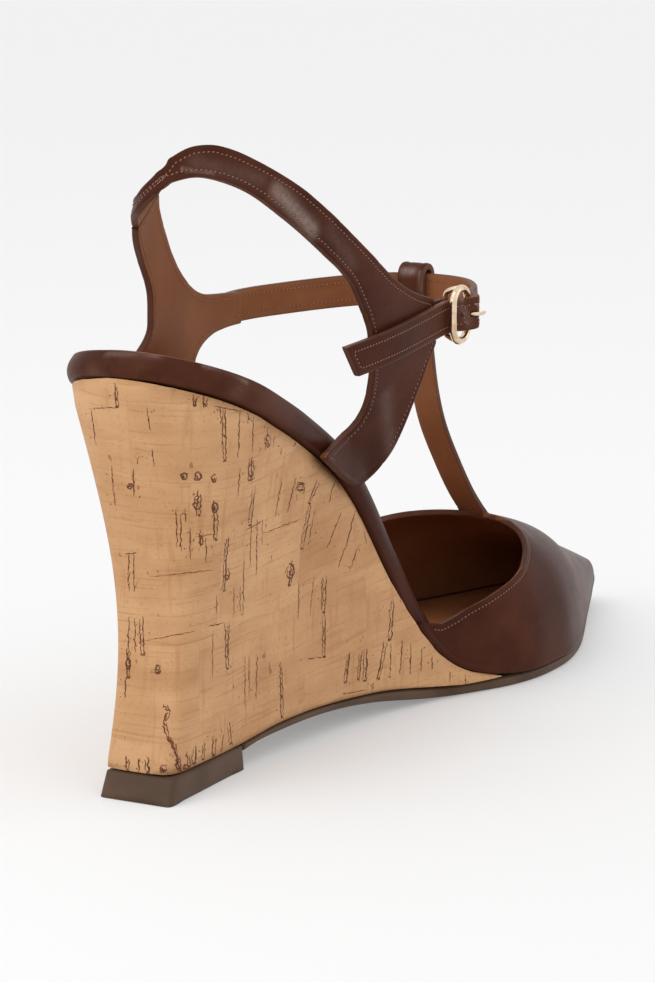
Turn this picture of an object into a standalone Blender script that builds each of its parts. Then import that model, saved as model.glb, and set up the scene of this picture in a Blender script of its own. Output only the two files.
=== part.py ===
"""Wedge pump, right shoe.

A pointed closed-toe vamp with a T-strap, a heel strap and an ankle strap, on a
wedge covered in cork.  +X runs from heel to toe, +Y is the medial side, -Y the
lateral side with the buckle, +Z is up.  The floor is z = 0 and the origin lies
on the rest face of the top lift, under the middle of the heel.
"""

import math

import bmesh
import bpy
from mathutils import Vector
from mathutils.geometry import delaunay_2d_cdt

# Driving sizes of the shoe, in metres
LENGTH = 0.2380          # of the last, from the back of the seat
SEAT_BACK = 0.0135       # the seat's back edge lies this far behind the origin
BALL_WIDTH = 0.0700      # across the ball of the last
RISE = 0.0873            # height of the cork at the back of the seat
INSTEP_HEIGHT = 0.0560   # ridge of the last above the sole where the wings end
STRAP_SPAN = 0.0600      # across the ankle strap
STRAP_HEIGHT = 0.1000    # top edge of the ankle strap above the floor
SLING_RISE = 0.0445      # the heel strap's crest above the ankle strap
ANKLE_LEAN = 0.16        # the ankle narrows by this share up to the crest

# Layers and walls
OUTSOLE = 0.0027         # outsole under the ball
OUTSOLE_ARCH = 0.0016    # outsole under the arch
ARCH = 0.0058            # underside of the arch above the floor
TOE_SPRING = 0.0050      # the sole's tip above the floor
BOARD = 0.0060           # footbed with its wrapped rim
BOARD_FRONT = 0.0030     # the same board under the vamp
BOARD_TOE = 0.0019       # and in the tip of the toe
SOCK = 0.0009            # insole lining
VAMP_WALL = 0.0014       # leather and lining of the vamp
LEATHER = 0.0016         # leather and lining of the straps
CORK_EDGE = 0.0005       # front edge of the cork
GAP = 0.0003             # room between pieces that touch
VAMP_PROUD = 0.0008      # the vamp stands this far outside the footbed
SOLE_PROUD = 0.0004      # the outsole's edge outside the footbed
SOCK_INSET = 0.0026      # the lining stays this far inside the rim
RIM_TUCK = 0.0014        # the rim's lower edge and the cork draw in
RIM_ROUND = 0.0011       # the rim's upper edge draws in

# Top lift of the heel
LIFT_HEIGHT = 0.0056
LIFT_LENGTH = 0.0352
LIFT_WIDTH = 0.0194
LIFT_SKEW = 0.0026       # the rest face reaches this far behind the cork
LIFT_ROUND = 0.0018      # corner radius
LIFT_SHIFT = -0.0048     # the lift's middle, toward the lateral side

# Straps and buckle
T_WIDTH = 0.0072
ANKLE_WIDTH = 0.0078
T_SIDE = 0.0020          # the T-strap stands this far to the medial side
LOOP_DROP = 0.0130       # the fold of the T-strap behind the ankle strap
FOLD_ROOM = 0.0007       # slack between the fold and the ankle strap
BUCKLE_TALL = 0.0144
BUCKLE_LONG = 0.0104
BUCKLE_WIRE = 0.0019
BUCKLE_ROUND = 0.0036
BAR_WIRE = 0.0015
PRONG_WIRE = 0.0010
TAB_WIDTH = 0.0066
TAB_LEATHER = 0.0008
TAB_TAIL = 0.0100        # how far the tab reaches back inside the quarter
TAB_SLACK = 0.0006       # the tab keeps this much clear of the quarter
PRONG_SLOT = 0.0022
PRONG_AHEAD = 0.0022     # the prong passes the strap this far before the bar
TAIL_SLANT = 0.0045      # slant of the cut at the tail
TAIL_RUN = 0.0240        # length of tail over which the slant fades out
STRAP_LIFT = 0.0010      # room for the tab between bar and strap
FRAME_LIFT = 0.0001      # the frame's rear side lies this far off the strap
BACK_BEND = 0.0140        # the heel strap bends sharply this near the middle of the back
HUMP_ROOM = 0.0001       # more room where the strap passes over the front side
HUMP_REACH = 0.0080      # the strap comes down over this length past the frame
PRONG_TIP = 0.0014       # the prong ends this far past the frame's front side

# Where the pieces begin and end, as shares of LENGTH
HEEL_ROUND_END = 0.095
LIFT_FRONT = 0.131
CORK_FRONT = 0.545
WING_BACK = 0.444
THROAT = 0.716
SOCK_FRONT = 0.9135
TOE_ROUND = 0.954
TOE_TIP = 0.988          # the rounded toe ends here

# Fall of the ridge over the tip of the toe, as shares of its height
TOE_SLOPE = 0.35
TOE_BEND = 0.85
TOE_TAPER = 0.55

SEAT_SQUARE = 2.2        # exponent of the rounded seat outline
TOE_DRAW = 2.2           # layers draw in this much more at the pointed tip

# Outline of the footbed.  along: share of LENGTH from the seat's back edge,
# lateral and medial: half widths as shares of BALL_WIDTH
OUTLINE = (
    # along, lateral, medial
    (0.095, 0.331, 0.364),
    (0.183, 0.286, 0.336),
    (0.280, 0.233, 0.305),
    (0.381, 0.213, 0.308),
    (0.478, 0.276, 0.400),
    (0.541, 0.384, 0.489),
    (0.604, 0.437, 0.546),
    (0.667, 0.429, 0.543),
    (0.731, 0.380, 0.483),
    (0.794, 0.297, 0.377),
    (0.853, 0.209, 0.266),
    (0.912, 0.126, 0.155),
    (0.954, 0.066, 0.082),
)

# Foot of the cork where it meets lift and outsole, as shares of BALL_WIDTH
CORK_FOOT = (
    # along, lateral, medial
    (-0.010, 0.208, 0.061),
    (0.095, 0.188, 0.090),
    (0.133, 0.177, 0.102),
    (0.213, 0.189, 0.136),
    (0.297, 0.203, 0.186),
    (0.381, 0.230, 0.250),
    (0.465, 0.300, 0.350),
    (0.507, 0.357, 0.418),
    (0.545, 0.396, 0.486),
)

# Line of the footbed's underside.  rise: share of RISE above the outsole
FOOTLINE = (
    # along, rise
    (0.000, 1.000),
    (0.058, 0.939),
    (0.139, 0.850),
    (0.213, 0.752),
    (0.288, 0.643),
    (0.325, 0.565),
    (0.359, 0.466),
    (0.397, 0.323),
    (0.435, 0.193),
    (0.475, 0.081),
    (0.505, 0.029),
    (0.530, 0.006),
    (0.545, 0.000),
)

# Underside of the outsole.  height: share of ARCH, spring: share of TOE_SPRING
TREAD = (
    # along, height, spring
    (0.131, 0.80, 0.00),
    (0.180, 0.92, 0.00),
    (0.245, 1.00, 0.00),
    (0.300, 0.92, 0.00),
    (0.365, 0.67, 0.00),
    (0.425, 0.31, 0.00),
    (0.465, 0.10, 0.00),
    (0.495, 0.00, 0.00),
    (0.700, 0.00, 0.00),
    (0.770, 0.00, 0.06),
    (0.850, 0.00, 0.28),
    (0.920, 0.00, 0.60),
    (1.000, 0.00, 1.00),
)

# Heel block, from its foot to the seat.  back: how far its back edge lies
# before the seat's, as a share of LIFT_LENGTH, spread: share of the way from
# the foot's width to the seat's, squareness: exponent of the rounded outline
HEEL_BLOCK = (
    # level, back, spread, squareness
    (0.000, -0.090, 0.000, 9.0),
    (0.100, -0.020, -0.020, 9.0),
    (0.245, 0.070, 0.000, 7.0),
    (0.405, 0.105, 0.070, 5.5),
    (0.565, 0.105, 0.240, 4.0),
    (0.760, 0.080, 0.560, 3.0),
    (1.000, 0.000, 1.000, 2.2),
)

# Vamp.  ridge: height of the last's ridge as a share of INSTEP_HEIGHT,
# lateral and medial: how far out from the ridge the topline lies, as a share
# of the half width there
VAMP = (
    # along, ridge, lateral, medial
    (0.444, 0.900, 1.000, 1.000),
    (0.465, 0.872, 0.997, 0.997),
    (0.478, 0.856, 0.992, 0.992),
    (0.490, 0.840, 0.984, 0.985),
    (0.510, 0.800, 0.962, 0.968),
    (0.560, 0.735, 0.905, 0.912),
    (0.608, 0.680, 0.823, 0.828),
    (0.659, 0.640, 0.640, 0.640),
    (0.690, 0.607, 0.350, 0.350),
    (0.716, 0.580, 0.000, 0.000),
    (0.760, 0.520, 0.000, 0.000),
    (0.811, 0.400, 0.000, 0.000),
    (0.870, 0.292, 0.000, 0.000),
    (0.937, 0.160, 0.000, 0.000),
    (0.954, 0.126, 0.000, 0.000),
)

# Plan of the ankle, worn by heel strap and ankle strap, seen from above.
# lateral and medial: half widths as shares of STRAP_SPAN
ANKLE = (
    # along, lateral, medial
    (0.027, 0.060, -0.020),
    (0.034, 0.115, 0.050),
    (0.060, 0.200, 0.135),
    (0.110, 0.300, 0.215),
    (0.160, 0.375, 0.270),
    (0.205, 0.425, 0.315),
    (0.250, 0.455, 0.360),
    (0.300, 0.470, 0.415),
    (0.350, 0.468, 0.455),
    (0.405, 0.462, 0.477),
    (0.435, 0.452, 0.455),
    (0.460, 0.436, 0.410),
    (0.489, 0.398, 0.350),
    (0.519, 0.330, 0.280),
    (0.546, 0.245, 0.215),
    (0.563, 0.150, 0.160),
    (0.572, 0.050, 0.105),
)

# Edges of the leather pieces seen from the side.  rise: shares of the way
# from the floor to the ankle strap's top edge, up to 1; above it in shares of
# SLING_RISE.  The sign of along tells the side: lateral edges run on the
# lateral plan, medial edges on the medial plan
LATERAL_UPPER_EDGE = (
    # along, rise
    (0.028, 1.932),
    (0.037, 1.985),
    (0.053, 2.000),
    (0.073, 1.985),
    (0.106, 1.922),
    (0.167, 1.761),
    (0.219, 1.561),
    (0.262, 1.375),
    (0.297, 1.240),
    (0.338, 1.135),
    (0.384, 1.065),
)
LATERAL_LOWER_EDGE = (
    # along, rise
    (0.231, 0.697),
    (0.274, 0.722),
    (0.294, 0.745),
    (0.299, 0.797),
    (0.286, 0.875),
    (0.268, 0.945),
    (0.259, 1.000),
    (0.238, 1.187),
    (0.223, 1.283),
    (0.202, 1.377),
    (0.165, 1.536),
    (0.118, 1.710),
    (0.085, 1.795),
    (0.050, 1.845),
    (0.030, 1.822),
)
LATERAL_FRONT_EDGE = (
    # along, rise
    (0.393, 0.920),
    (0.381, 0.869),
    (0.372, 0.787),
    (0.367, 0.714),
    (0.360, 0.655),
    (0.341, 0.603),
    (0.307, 0.593),
)
MEDIAL_LOWER_EDGE = (
    # along, rise
    (0.198, 0.738),
    (0.192, 0.775),
    (0.170, 0.850),
    (0.156, 0.930),
    (0.153, 1.000),
    (0.152, 1.164),
    (0.138, 1.279),
    (0.121, 1.368),
    (0.089, 1.490),
)
MEDIAL_UPPER_EDGE = (
    # along, rise
    (0.152, 1.620),
    (0.174, 1.513),
    (0.207, 1.361),
    (0.237, 1.224),
    (0.277, 1.110),
    (0.324, 1.040),
    (0.405, 1.000),
)
MEDIAL_FRONT_EDGE = (
    # along, rise
    (0.405, 0.922),
    (0.361, 0.922),
    (0.325, 0.915),
    (0.295, 0.897),
    (0.277, 0.865),
    (0.276, 0.810),
    (0.290, 0.730),
    (0.304, 0.655),
    (0.300, 0.612),
)

# Heel strap round the back on the medial side, and its seam with the quarter
SLING_CREST = (
    # along, rise
    (0.034, 1.775),
    (0.045, 1.735),
    (0.065, 1.715),
    (0.110, 1.705),
)
SLING_HOLLOW = (
    # along, rise
    (0.062, 1.605),
    (0.045, 1.640),
    (0.034, 1.675),
)
SEAM_TOP = (0.144, 1.700)
SEAM_LOW = (0.077, 1.565)
BACK_CREST = 1.885
BACK_HOLLOW = 1.775

# T-strap from the throat up to the ankle strap.  rise: share of STRAP_HEIGHT
T_LINE = (
    # along, rise
    (0.724, 0.336),
    (0.706, 0.372),
    (0.681, 0.430),
    (0.650, 0.520),
    (0.620, 0.620),
    (0.602, 0.720),
    (0.592, 0.820),
    (0.588, 0.880),
)

# Ankle strap's middle.  side -1 lateral, +1 medial; rise: share of
# STRAP_HEIGHT.  It starts inside the medial quarter and ends as the tail
ANKLE_LINE = (
    # side, along, rise
    (1, 0.362, 0.958),
    (1, 0.402, 0.960),
    (1, 0.460, 0.966),
    (1, 0.519, 0.972),
    (1, 0.563, 0.974),
    (-1, 0.563, 0.980),
    (-1, 0.519, 0.984),
    (-1, 0.460, 0.987),
    (-1, 0.402, 0.981),
    (-1, 0.347, 0.966),
    (-1, 0.280, 0.947),
    (-1, 0.212, 0.928),
)
BUCKLE_ALONG = 0.415     # middle of the buckle on the lateral side

# Colours and surfaces
LEATHER_BROWN = (0.066, 0.024, 0.017)
LINING_TAN = (0.245, 0.098, 0.048)
CORK_TAN = (0.700, 0.412, 0.195)
RUBBER_BROWN = (0.090, 0.060, 0.040)
PALE_GOLD = (0.830, 0.660, 0.400)


def clear_scene():
    for item in list(bpy.data.objects):
        bpy.data.objects.remove(item, do_unlink=True)


def material(name, colour, roughness, metallic=0.0):
    mat = bpy.data.materials.new(name)
    mat.use_nodes = True
    shader = mat.node_tree.nodes["Principled BSDF"]
    shader.inputs["Base Color"].default_value = (*colour, 1.0)
    shader.inputs["Roughness"].default_value = roughness
    shader.inputs["Metallic"].default_value = metallic
    return mat


def smooth_value(rows, column, at):
    """Value of a column of the rows at one place, along a smooth curve."""
    if at <= rows[0][0]:
        return rows[0][column]
    if at >= rows[-1][0]:
        return rows[-1][column]
    i = max(k for k in range(len(rows) - 1) if rows[k][0] <= at)

    def slope(k):
        if k == 0 or k == len(rows) - 1:
            j = min(k, len(rows) - 2)
            return (rows[j + 1][column] - rows[j][column]) / (rows[j + 1][0] - rows[j][0])
        before = (rows[k][column] - rows[k - 1][column]) / (rows[k][0] - rows[k - 1][0])
        after = (rows[k + 1][column] - rows[k][column]) / (rows[k + 1][0] - rows[k][0])
        if before * after <= 0.0:
            return 0.0
        return 2.0 * before * after / (before + after)

    step = rows[i + 1][0] - rows[i][0]
    t = (at - rows[i][0]) / step
    a, b = rows[i][column], rows[i + 1][column]
    ma, mb = slope(i) * step, slope(i + 1) * step
    return (
        a * (2 * t**3 - 3 * t**2 + 1)
        + ma * (t**3 - 2 * t**2 + t)
        + b * (3 * t**2 - 2 * t**3)
        + mb * (t**3 - t**2)
    )


def spline(points, per_span=4):
    """A smooth line through a few points, Catmull-Rom."""
    line = []
    last = len(points) - 1
    for i in range(last):
        p0 = Vector(points[max(i - 1, 0)])
        p1 = Vector(points[i])
        p2 = Vector(points[i + 1])
        p3 = Vector(points[min(i + 2, last)])
        for k in range(per_span):
            t = k / per_span
            line.append(
                0.5 * (2 * p1 + (p2 - p0) * t + (2 * p0 - 5 * p1 + 4 * p2 - p3) * t**2
                       + (3 * p1 - p0 - 3 * p2 + p3) * t**3)
            )
    line.append(Vector(points[last]))
    return line


def ease(t):
    t = min(max(t, 0.0), 1.0)
    return t * t * (3.0 - 2.0 * t)


def along(share):
    return share * LENGTH - SEAT_BACK


def share_at(x):
    return (x + SEAT_BACK) / LENGTH


# Lines of the sole, seen from the side


def tread_height(share):
    return ARCH * smooth_value(TREAD, 1, share) + TOE_SPRING * smooth_value(TREAD, 2, share)


def outsole_thickness(share):
    return OUTSOLE_ARCH + (OUTSOLE - OUTSOLE_ARCH) * ease((share - 0.30) / 0.14)


def outsole_top(share):
    """Upper face of lift or outsole."""
    if share < LIFT_FRONT:
        return LIFT_HEIGHT
    top = tread_height(share) + outsole_thickness(share)
    return LIFT_HEIGHT + (top - LIFT_HEIGHT) * ease((share - LIFT_FRONT) / 0.05)


def cork_top(share):
    """Upper face of the cork and lower edge of the rim, from the side."""
    base = LIFT_HEIGHT + (outsole_top(share) - LIFT_HEIGHT) * ease(share / 0.4)
    return base + GAP + CORK_EDGE + RISE * smooth_value(FOOTLINE, 1, share)


def base_height(share):
    """Underside of the footbed board and of the vamp."""
    if share <= CORK_FRONT:
        return cork_top(share) + GAP
    rest = outsole_top(share) + GAP
    drop = cork_top(CORK_FRONT) + GAP - outsole_top(CORK_FRONT) - GAP
    return rest + drop * (1.0 - ease((share - CORK_FRONT) / 0.02))


def base_normal(share):
    step = 0.004
    rise = base_height(share + step) - base_height(share - step)
    if share < step:
        rise = 2.0 * (base_height(step) - base_height(0.0))
    run = 2.0 * step * LENGTH
    size = math.hypot(rise, run)
    return -rise / size, run / size


def board_thickness(share):
    front = BOARD_FRONT - (BOARD_FRONT - BOARD_TOE) * ease((share - 0.86) / 0.10)
    return BOARD + (front - BOARD) * ease((share - 0.40) / 0.12)


# Outlines, seen from above


def stations(first, last, count):
    return [first + (last - first) * i / (count - 1) for i in range(count)]


def heel_angles(count):
    return [math.radians(9.0 + 81.0 * i / (count - 1)) for i in range(count)]


def toe_angles(count):
    return [math.radians(78.0 * (i + 1) / count) for i in range(count)]


def toe_narrow(past):
    """Width of the tip of the toe; past runs from 0 to 1 at its very end."""
    return (1.0 - TOE_TAPER * past) * math.sqrt(1.0 - past * past)


def half_width(share, side):
    column = 1 if side < 0 else 2
    return BALL_WIDTH * smooth_value(OUTLINE, column, share)


def outline_rows(first, last, mid_shares, proud, toe_count=5):
    """Rows (share, lateral y, medial y) from first to last, with round ends."""
    rows = []
    if first < HEEL_ROUND_END:
        for angle in heel_angles(8)[:-1]:
            back = math.cos(angle) ** (2.0 / SEAT_SQUARE)
            wide = math.sin(angle) ** (2.0 / SEAT_SQUARE)
            share = HEEL_ROUND_END - (HEEL_ROUND_END + proud / LENGTH) * back
            lateral = -(half_width(HEEL_ROUND_END, -1) + proud) * wide
            medial = (half_width(HEEL_ROUND_END, 1) + proud) * wide
            rows.append((share, lateral, medial))
    for share in mid_shares:
        if first <= share <= min(last, TOE_ROUND):
            lateral = -(half_width(share, -1) + proud)
            rows.append((share, lateral, half_width(share, 1) + proud))
    if last > TOE_ROUND:
        lateral = -(half_width(TOE_ROUND, -1) + proud)
        medial = half_width(TOE_ROUND, 1) + proud
        middle = 0.5 * (lateral + medial)
        reach = TOE_TIP - TOE_ROUND + TOE_DRAW * (proud - VAMP_PROUD) / LENGTH
        for angle in toe_angles(toe_count):
            share = TOE_ROUND + reach * math.sin(angle)
            narrow = toe_narrow(math.sin(angle))
            rows.append((share, middle + (lateral - middle) * narrow,
                         middle + (medial - middle) * narrow))
    return rows


MID_SHARES = (
    0.095, 0.125, 0.155, 0.185, 0.215, 0.245, 0.275, 0.300, 0.322, 0.344, 0.364,
    0.382, 0.400, 0.418, 0.436, 0.455, 0.475, 0.495, 0.515, 0.545, 0.566, 0.604,
    0.640, 0.680, 0.716, 0.755, 0.794, 0.830, 0.870, 0.912, 0.954,
)


# Mesh helpers


def add_object(name, verts, faces, mat, smooth=True):
    mesh = bpy.data.meshes.new(name)
    mesh.from_pydata([tuple(v) for v in verts], [], faces)
    work = bmesh.new()
    work.from_mesh(mesh)
    bmesh.ops.remove_doubles(work, verts=work.verts, dist=1e-7)
    bmesh.ops.triangulate(work, faces=[f for f in work.faces if len(f.verts) > 4])
    bmesh.ops.recalc_face_normals(work, faces=work.faces)
    if work.calc_volume(signed=True) < 0.0:
        bmesh.ops.reverse_faces(work, faces=work.faces)
    work.to_mesh(mesh)
    work.free()
    mesh.materials.append(mat)
    obj = bpy.data.objects.new(name, mesh)
    bpy.context.scene.collection.objects.link(obj)
    if smooth:
        mesh.shade_smooth()
        mesh.set_sharp_from_angle(angle=math.radians(35.0))
    return obj


def rings_to_solid(name, rings, mat):
    """Closed solid from rings, one for each station, capped at both ends."""
    size = len(rings[0])
    verts = [p for ring in rings for p in ring]
    faces = []
    for i in range(len(rings) - 1):
        for j in range(size):
            a = i * size + j
            b = i * size + (j + 1) % size
            faces.append((a, b, b + size, a + size))
    faces.append(tuple(reversed(range(size))))
    start = (len(rings) - 1) * size
    faces.append(tuple(range(start, start + size)))
    return add_object(name, verts, faces, mat)


def layered_solid(name, rows, levels, mat):
    """Solid from rows of stations.  levels(row) gives points from the lower
    to the upper edge of the side as (x, inset, z); the rows' own y is kept."""
    rings = []
    for share, lateral, medial in rows:
        side = levels(share)
        ring = [(x, lateral + inset, z) for x, inset, z in side]
        ring += [(x, medial - inset, z) for x, inset, z in reversed(side)]
        rings.append(ring)
    return rings_to_solid(name, rings, mat)


def join_bodies(first, second):
    """Boolean union of two bodies into the first."""
    modifier = first.modifiers.new("union", "BOOLEAN")
    modifier.operation = "UNION"
    modifier.solver = "EXACT"
    modifier.object = second
    bake(first, second)


def cut_body(body, cutter):
    modifier = body.modifiers.new("cut", "BOOLEAN")
    modifier.operation = "DIFFERENCE"
    modifier.solver = "EXACT"
    modifier.object = cutter
    bake(body, cutter)


def bake(body, helper):
    graph = bpy.context.evaluated_depsgraph_get()
    mesh = bpy.data.meshes.new_from_object(body.evaluated_get(graph))
    mesh.name = body.name
    body.modifiers.clear()
    body.data = mesh
    bpy.data.objects.remove(helper, do_unlink=True)


# Sole pieces


def make_top_lift(mat):
    """Rubber lift: a rounded oblong whose rest face reaches further back."""
    def oblong(z, back, front, half):
        points = []
        corners = ((front, 1, 0), (back, 1, 90), (back, -1, 180), (front, -1, 270))
        for x, side, start in corners:
            toward = -1 if x == front else 1
            cx = x + toward * LIFT_ROUND
            cy = LIFT_SHIFT + side * (half - LIFT_ROUND) + drift(x) - drift(0.0)
            for k in range(4):
                angle = math.radians(start + 30 * k)
                points.append((cx + LIFT_ROUND * math.cos(angle),
                               cy + LIFT_ROUND * math.sin(angle), z))
        return points

    def drift(x):
        return 0.08 * x

    half = 0.5 * LIFT_WIDTH
    front = along(LIFT_FRONT) - GAP
    back = front - LIFT_LENGTH
    low = oblong(0.0, back - LIFT_SKEW, front, half)
    high = oblong(LIFT_HEIGHT, back, front - GAP, half - GAP)
    return rings_to_solid("top_lift", [low, high], mat)


def make_outsole(mat):
    mid = (LIFT_FRONT,) + tuple(s for s in MID_SHARES if s > LIFT_FRONT)
    rows = []
    for share, lateral, medial in outline_rows(LIFT_FRONT, TOE_TIP, mid, SOLE_PROUD):
        blend = ease((share - 0.40) / 0.145)
        foot = -BALL_WIDTH * smooth_value(CORK_FOOT, 1, share)
        foot_medial = BALL_WIDTH * smooth_value(CORK_FOOT, 2, share)
        if share > CORK_FRONT:
            blend = 1.0
        rows.append((share, foot + (lateral - foot) * blend,
                     foot_medial + (medial - foot_medial) * blend))

    def levels(share):
        low = tread_height(share)
        high = outsole_top(share)
        if share <= LIFT_FRONT:
            low = high - OUTSOLE_ARCH
        x = along(share)
        soft = 0.0006
        return [(x, soft, low), (x, 0.0, low + soft), (x, 0.0, high)]

    return layered_solid("outsole", rows, levels, mat)


def make_wedge(mat):
    """Cork wedge: ribs from the foot of the block to the footbed."""
    mid = tuple(s for s in MID_SHARES if s <= CORK_FRONT)
    angles = heel_angles(8)[:-1]
    level_rows = HEEL_BLOCK
    columns = []
    for index in range(len(angles) + len(mid)):
        heel = index < len(angles)
        share = None if heel else mid[index - len(angles)]
        rib = {}
        for side in (-1, 1):
            column = 1 if side < 0 else 2
            points = []
            for level, back, spread, square in level_rows:
                if heel:
                    angle = angles[index]
                    edge = back * LIFT_LENGTH / LENGTH
                    reach = HEEL_ROUND_END - edge
                    at = HEEL_ROUND_END - reach * math.cos(angle) ** (2.0 / square)
                    wide = math.sin(angle) ** (2.0 / square)
                    top_wide = half_width(HEEL_ROUND_END, side) - RIM_TUCK
                    top_at = HEEL_ROUND_END * (1 - math.cos(angle) ** (2.0 / SEAT_SQUARE))
                else:
                    at = share
                    wide = 1.0
                    top_wide = half_width(share, side) - rim_tuck(share)
                    top_at = share
                foot = BALL_WIDTH * smooth_value(CORK_FOOT, column, at)
                y = side * (foot + (top_wide - foot) * spread) * wide
                low = outsole_top(at) + GAP
                nx, nz = base_normal(top_at)
                shift = -0.5 * board_thickness(top_at) * nx * level
                if heel:
                    shift += RIM_TUCK * level * math.cos(angle)
                base_share = share_at(along(top_at) - 0.5 * board_thickness(top_at) * nx)
                high = cork_top(max(base_share, 0.0))
                if index == 0 or base_share < 0.0:
                    slope = (cork_top(0.0) - cork_top(0.01)) / 0.01
                    high = cork_top(max(base_share, 0.0)) - min(base_share, 0.0) * slope
                z = low + (high - low) * level
                points.append((along(at) + shift, y, z))
            rib[side] = points
        columns.append(rib)
    rings = []
    for rib in columns:
        rings.append(rib[-1] + list(reversed(rib[1])))
    return rings_to_solid("wedge", rings, mat)


def board_point(share, lift, lead):
    """Point (x, z) of the footbed at a height above its underside."""
    nx, nz = base_normal(share)
    x = along(share) - 0.5 * board_thickness(share) * nx
    foot = share_at(x)
    z = base_height(max(foot, 0.0))
    if foot < 0.0:
        slope = (base_height(0.0) - base_height(0.01)) / 0.01
        z -= foot * slope
    return x + lift * nx + lead, z + lift * nz


def board_inset(x):
    """Room that the vamp takes from the footbed's edge."""
    start = along(WING_BACK) - 0.0062
    return (VAMP_WALL + GAP - VAMP_PROUD) * ease((x - start) / 0.004)


def rim_tuck(share):
    """The rim's lower edge draws in round the heel, not beside the vamp."""
    return RIM_TUCK * (1.0 - ease((share - 0.30) / 0.14))


def board_ring(row, steps):
    """Ring round the footbed at one station, from steps of lift and inset."""
    share, lateral, medial = row
    heel = max(0.0, 1.0 - share / HEEL_ROUND_END)
    toe = ease((share - TOE_ROUND) / (TOE_TIP - TOE_ROUND))
    narrow = 0.4 * (medial - lateral)
    room = board_inset(along(share))
    lateral_side, medial_side = [], []
    for lift, inset in steps:
        x, z = board_point(share, lift, inset * heel)
        here = share + (share_at(x) - share) * ease((share - 0.40) / 0.044)
        lateral_more = half_width(here, -1) - half_width(share, -1)
        medial_more = half_width(here, 1) - half_width(share, 1)
        fit = min(1.0, max(0.05, (narrow - room) / SOCK_INSET))
        x -= TOE_DRAW * (room + inset) * toe
        lateral_side.append((x, lateral - lateral_more + room + inset * fit, z))
        medial_side.append((x, medial + medial_more - room - inset * fit, z))
    return lateral_side + list(reversed(medial_side))


def rim_steps(share, bed, depth):
    """The footbed's edge, from its underside up to the bed of the lining."""
    thick = board_thickness(share)
    tuck = rim_tuck(share)
    return (
        (0.0, tuck),
        (0.35 * thick, 0.2 * tuck),
        (0.70 * thick, 0.3 * RIM_ROUND),
        (thick, RIM_ROUND),
        (thick, bed - 2.0 * GAP),
        (thick - depth, bed - GAP),
    )


def make_footbed(mat):
    """Insole board whose leather-wrapped rim shows all round the heel."""
    shares = sorted(MID_SHARES + (SOCK_FRONT,))
    rows = outline_rows(0.0, TOE_TIP, shares, 0.0)
    edge = RIM_ROUND + 2.0 * GAP
    depth = SOCK + GAP
    back = rows[0]
    rings = [board_ring(back, rim_steps(back[0], bed, 0.0)) for bed in (edge, SOCK_INSET)]
    for row in rows:
        if row[0] <= SOCK_FRONT:
            rings.append(board_ring(row, rim_steps(row[0], SOCK_INSET, depth)))
        if row[0] == SOCK_FRONT:
            rings.append(board_ring(row, rim_steps(row[0], SOCK_INSET, 0.0)))
        if row[0] >= SOCK_FRONT:
            rings.append(board_ring(row, rim_steps(row[0], edge, 0.0)))
    return rings_to_solid("footbed", rings, mat)


def make_sock(mat):
    """Insole lining, let into the footbed a little inside the rim."""
    rings = []
    for row in outline_rows(0.0, SOCK_FRONT, MID_SHARES, 0.0):
        thick = board_thickness(row[0])
        steps = ((thick - SOCK, SOCK_INSET), (thick, SOCK_INSET))
        rings.append(board_ring(row, steps))
    return rings_to_solid("sock_lining", rings, mat)


# Vamp


def vamp_half(share, side, inset):
    """Half width of the vamp's wall at the sole and the middle of the toe."""
    proud = VAMP_PROUD - inset
    if share <= TOE_ROUND:
        return half_width(share, side) + proud, 0.0
    lateral = half_width(TOE_ROUND, -1) + proud
    medial = half_width(TOE_ROUND, 1) + proud
    middle = 0.5 * (medial - lateral)
    reach = TOE_TIP - TOE_ROUND - TOE_DRAW * inset / LENGTH
    narrow = toe_narrow(min((share - TOE_ROUND) / reach, 0.999))
    return 0.5 * (lateral + medial) * narrow, middle


def vamp_point(share, side, turn, inset):
    """Point of the vamp's wall; turn runs from 0 at the sole to 1 at the ridge."""
    fullness = 2.5
    half, middle = vamp_half(share, side, inset)
    if share <= TOE_ROUND:
        middle = 0.0
    angle = 0.5 * math.pi * turn
    low = base_height(share)
    ridge = INSTEP_HEIGHT * smooth_value(VAMP, 1, share)
    if share > TOE_ROUND:
        past = (share - TOE_ROUND) / (TOE_TIP - TOE_ROUND - TOE_DRAW * inset / LENGTH)
        start = INSTEP_HEIGHT * smooth_value(VAMP, 1, TOE_ROUND)
        past = min(past, 1.0)
        ridge = start * (1.0 - TOE_SLOPE * past) * math.sqrt(1.0 - TOE_BEND * past * past)
    ridge += outsole_top(share)
    y = middle + side * half * max(math.cos(angle), 0.0) ** (2.0 / fullness)
    z = low + (ridge - inset - low) * math.sin(angle) ** (2.0 / fullness)
    return (along(share), y, z)


def topline_turn(share, side):
    out = smooth_value(VAMP, 2 if side < 0 else 3, share)
    out = min(max(out, 0.0), 1.0)
    return math.acos(out**1.25) / (0.5 * math.pi)


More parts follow.
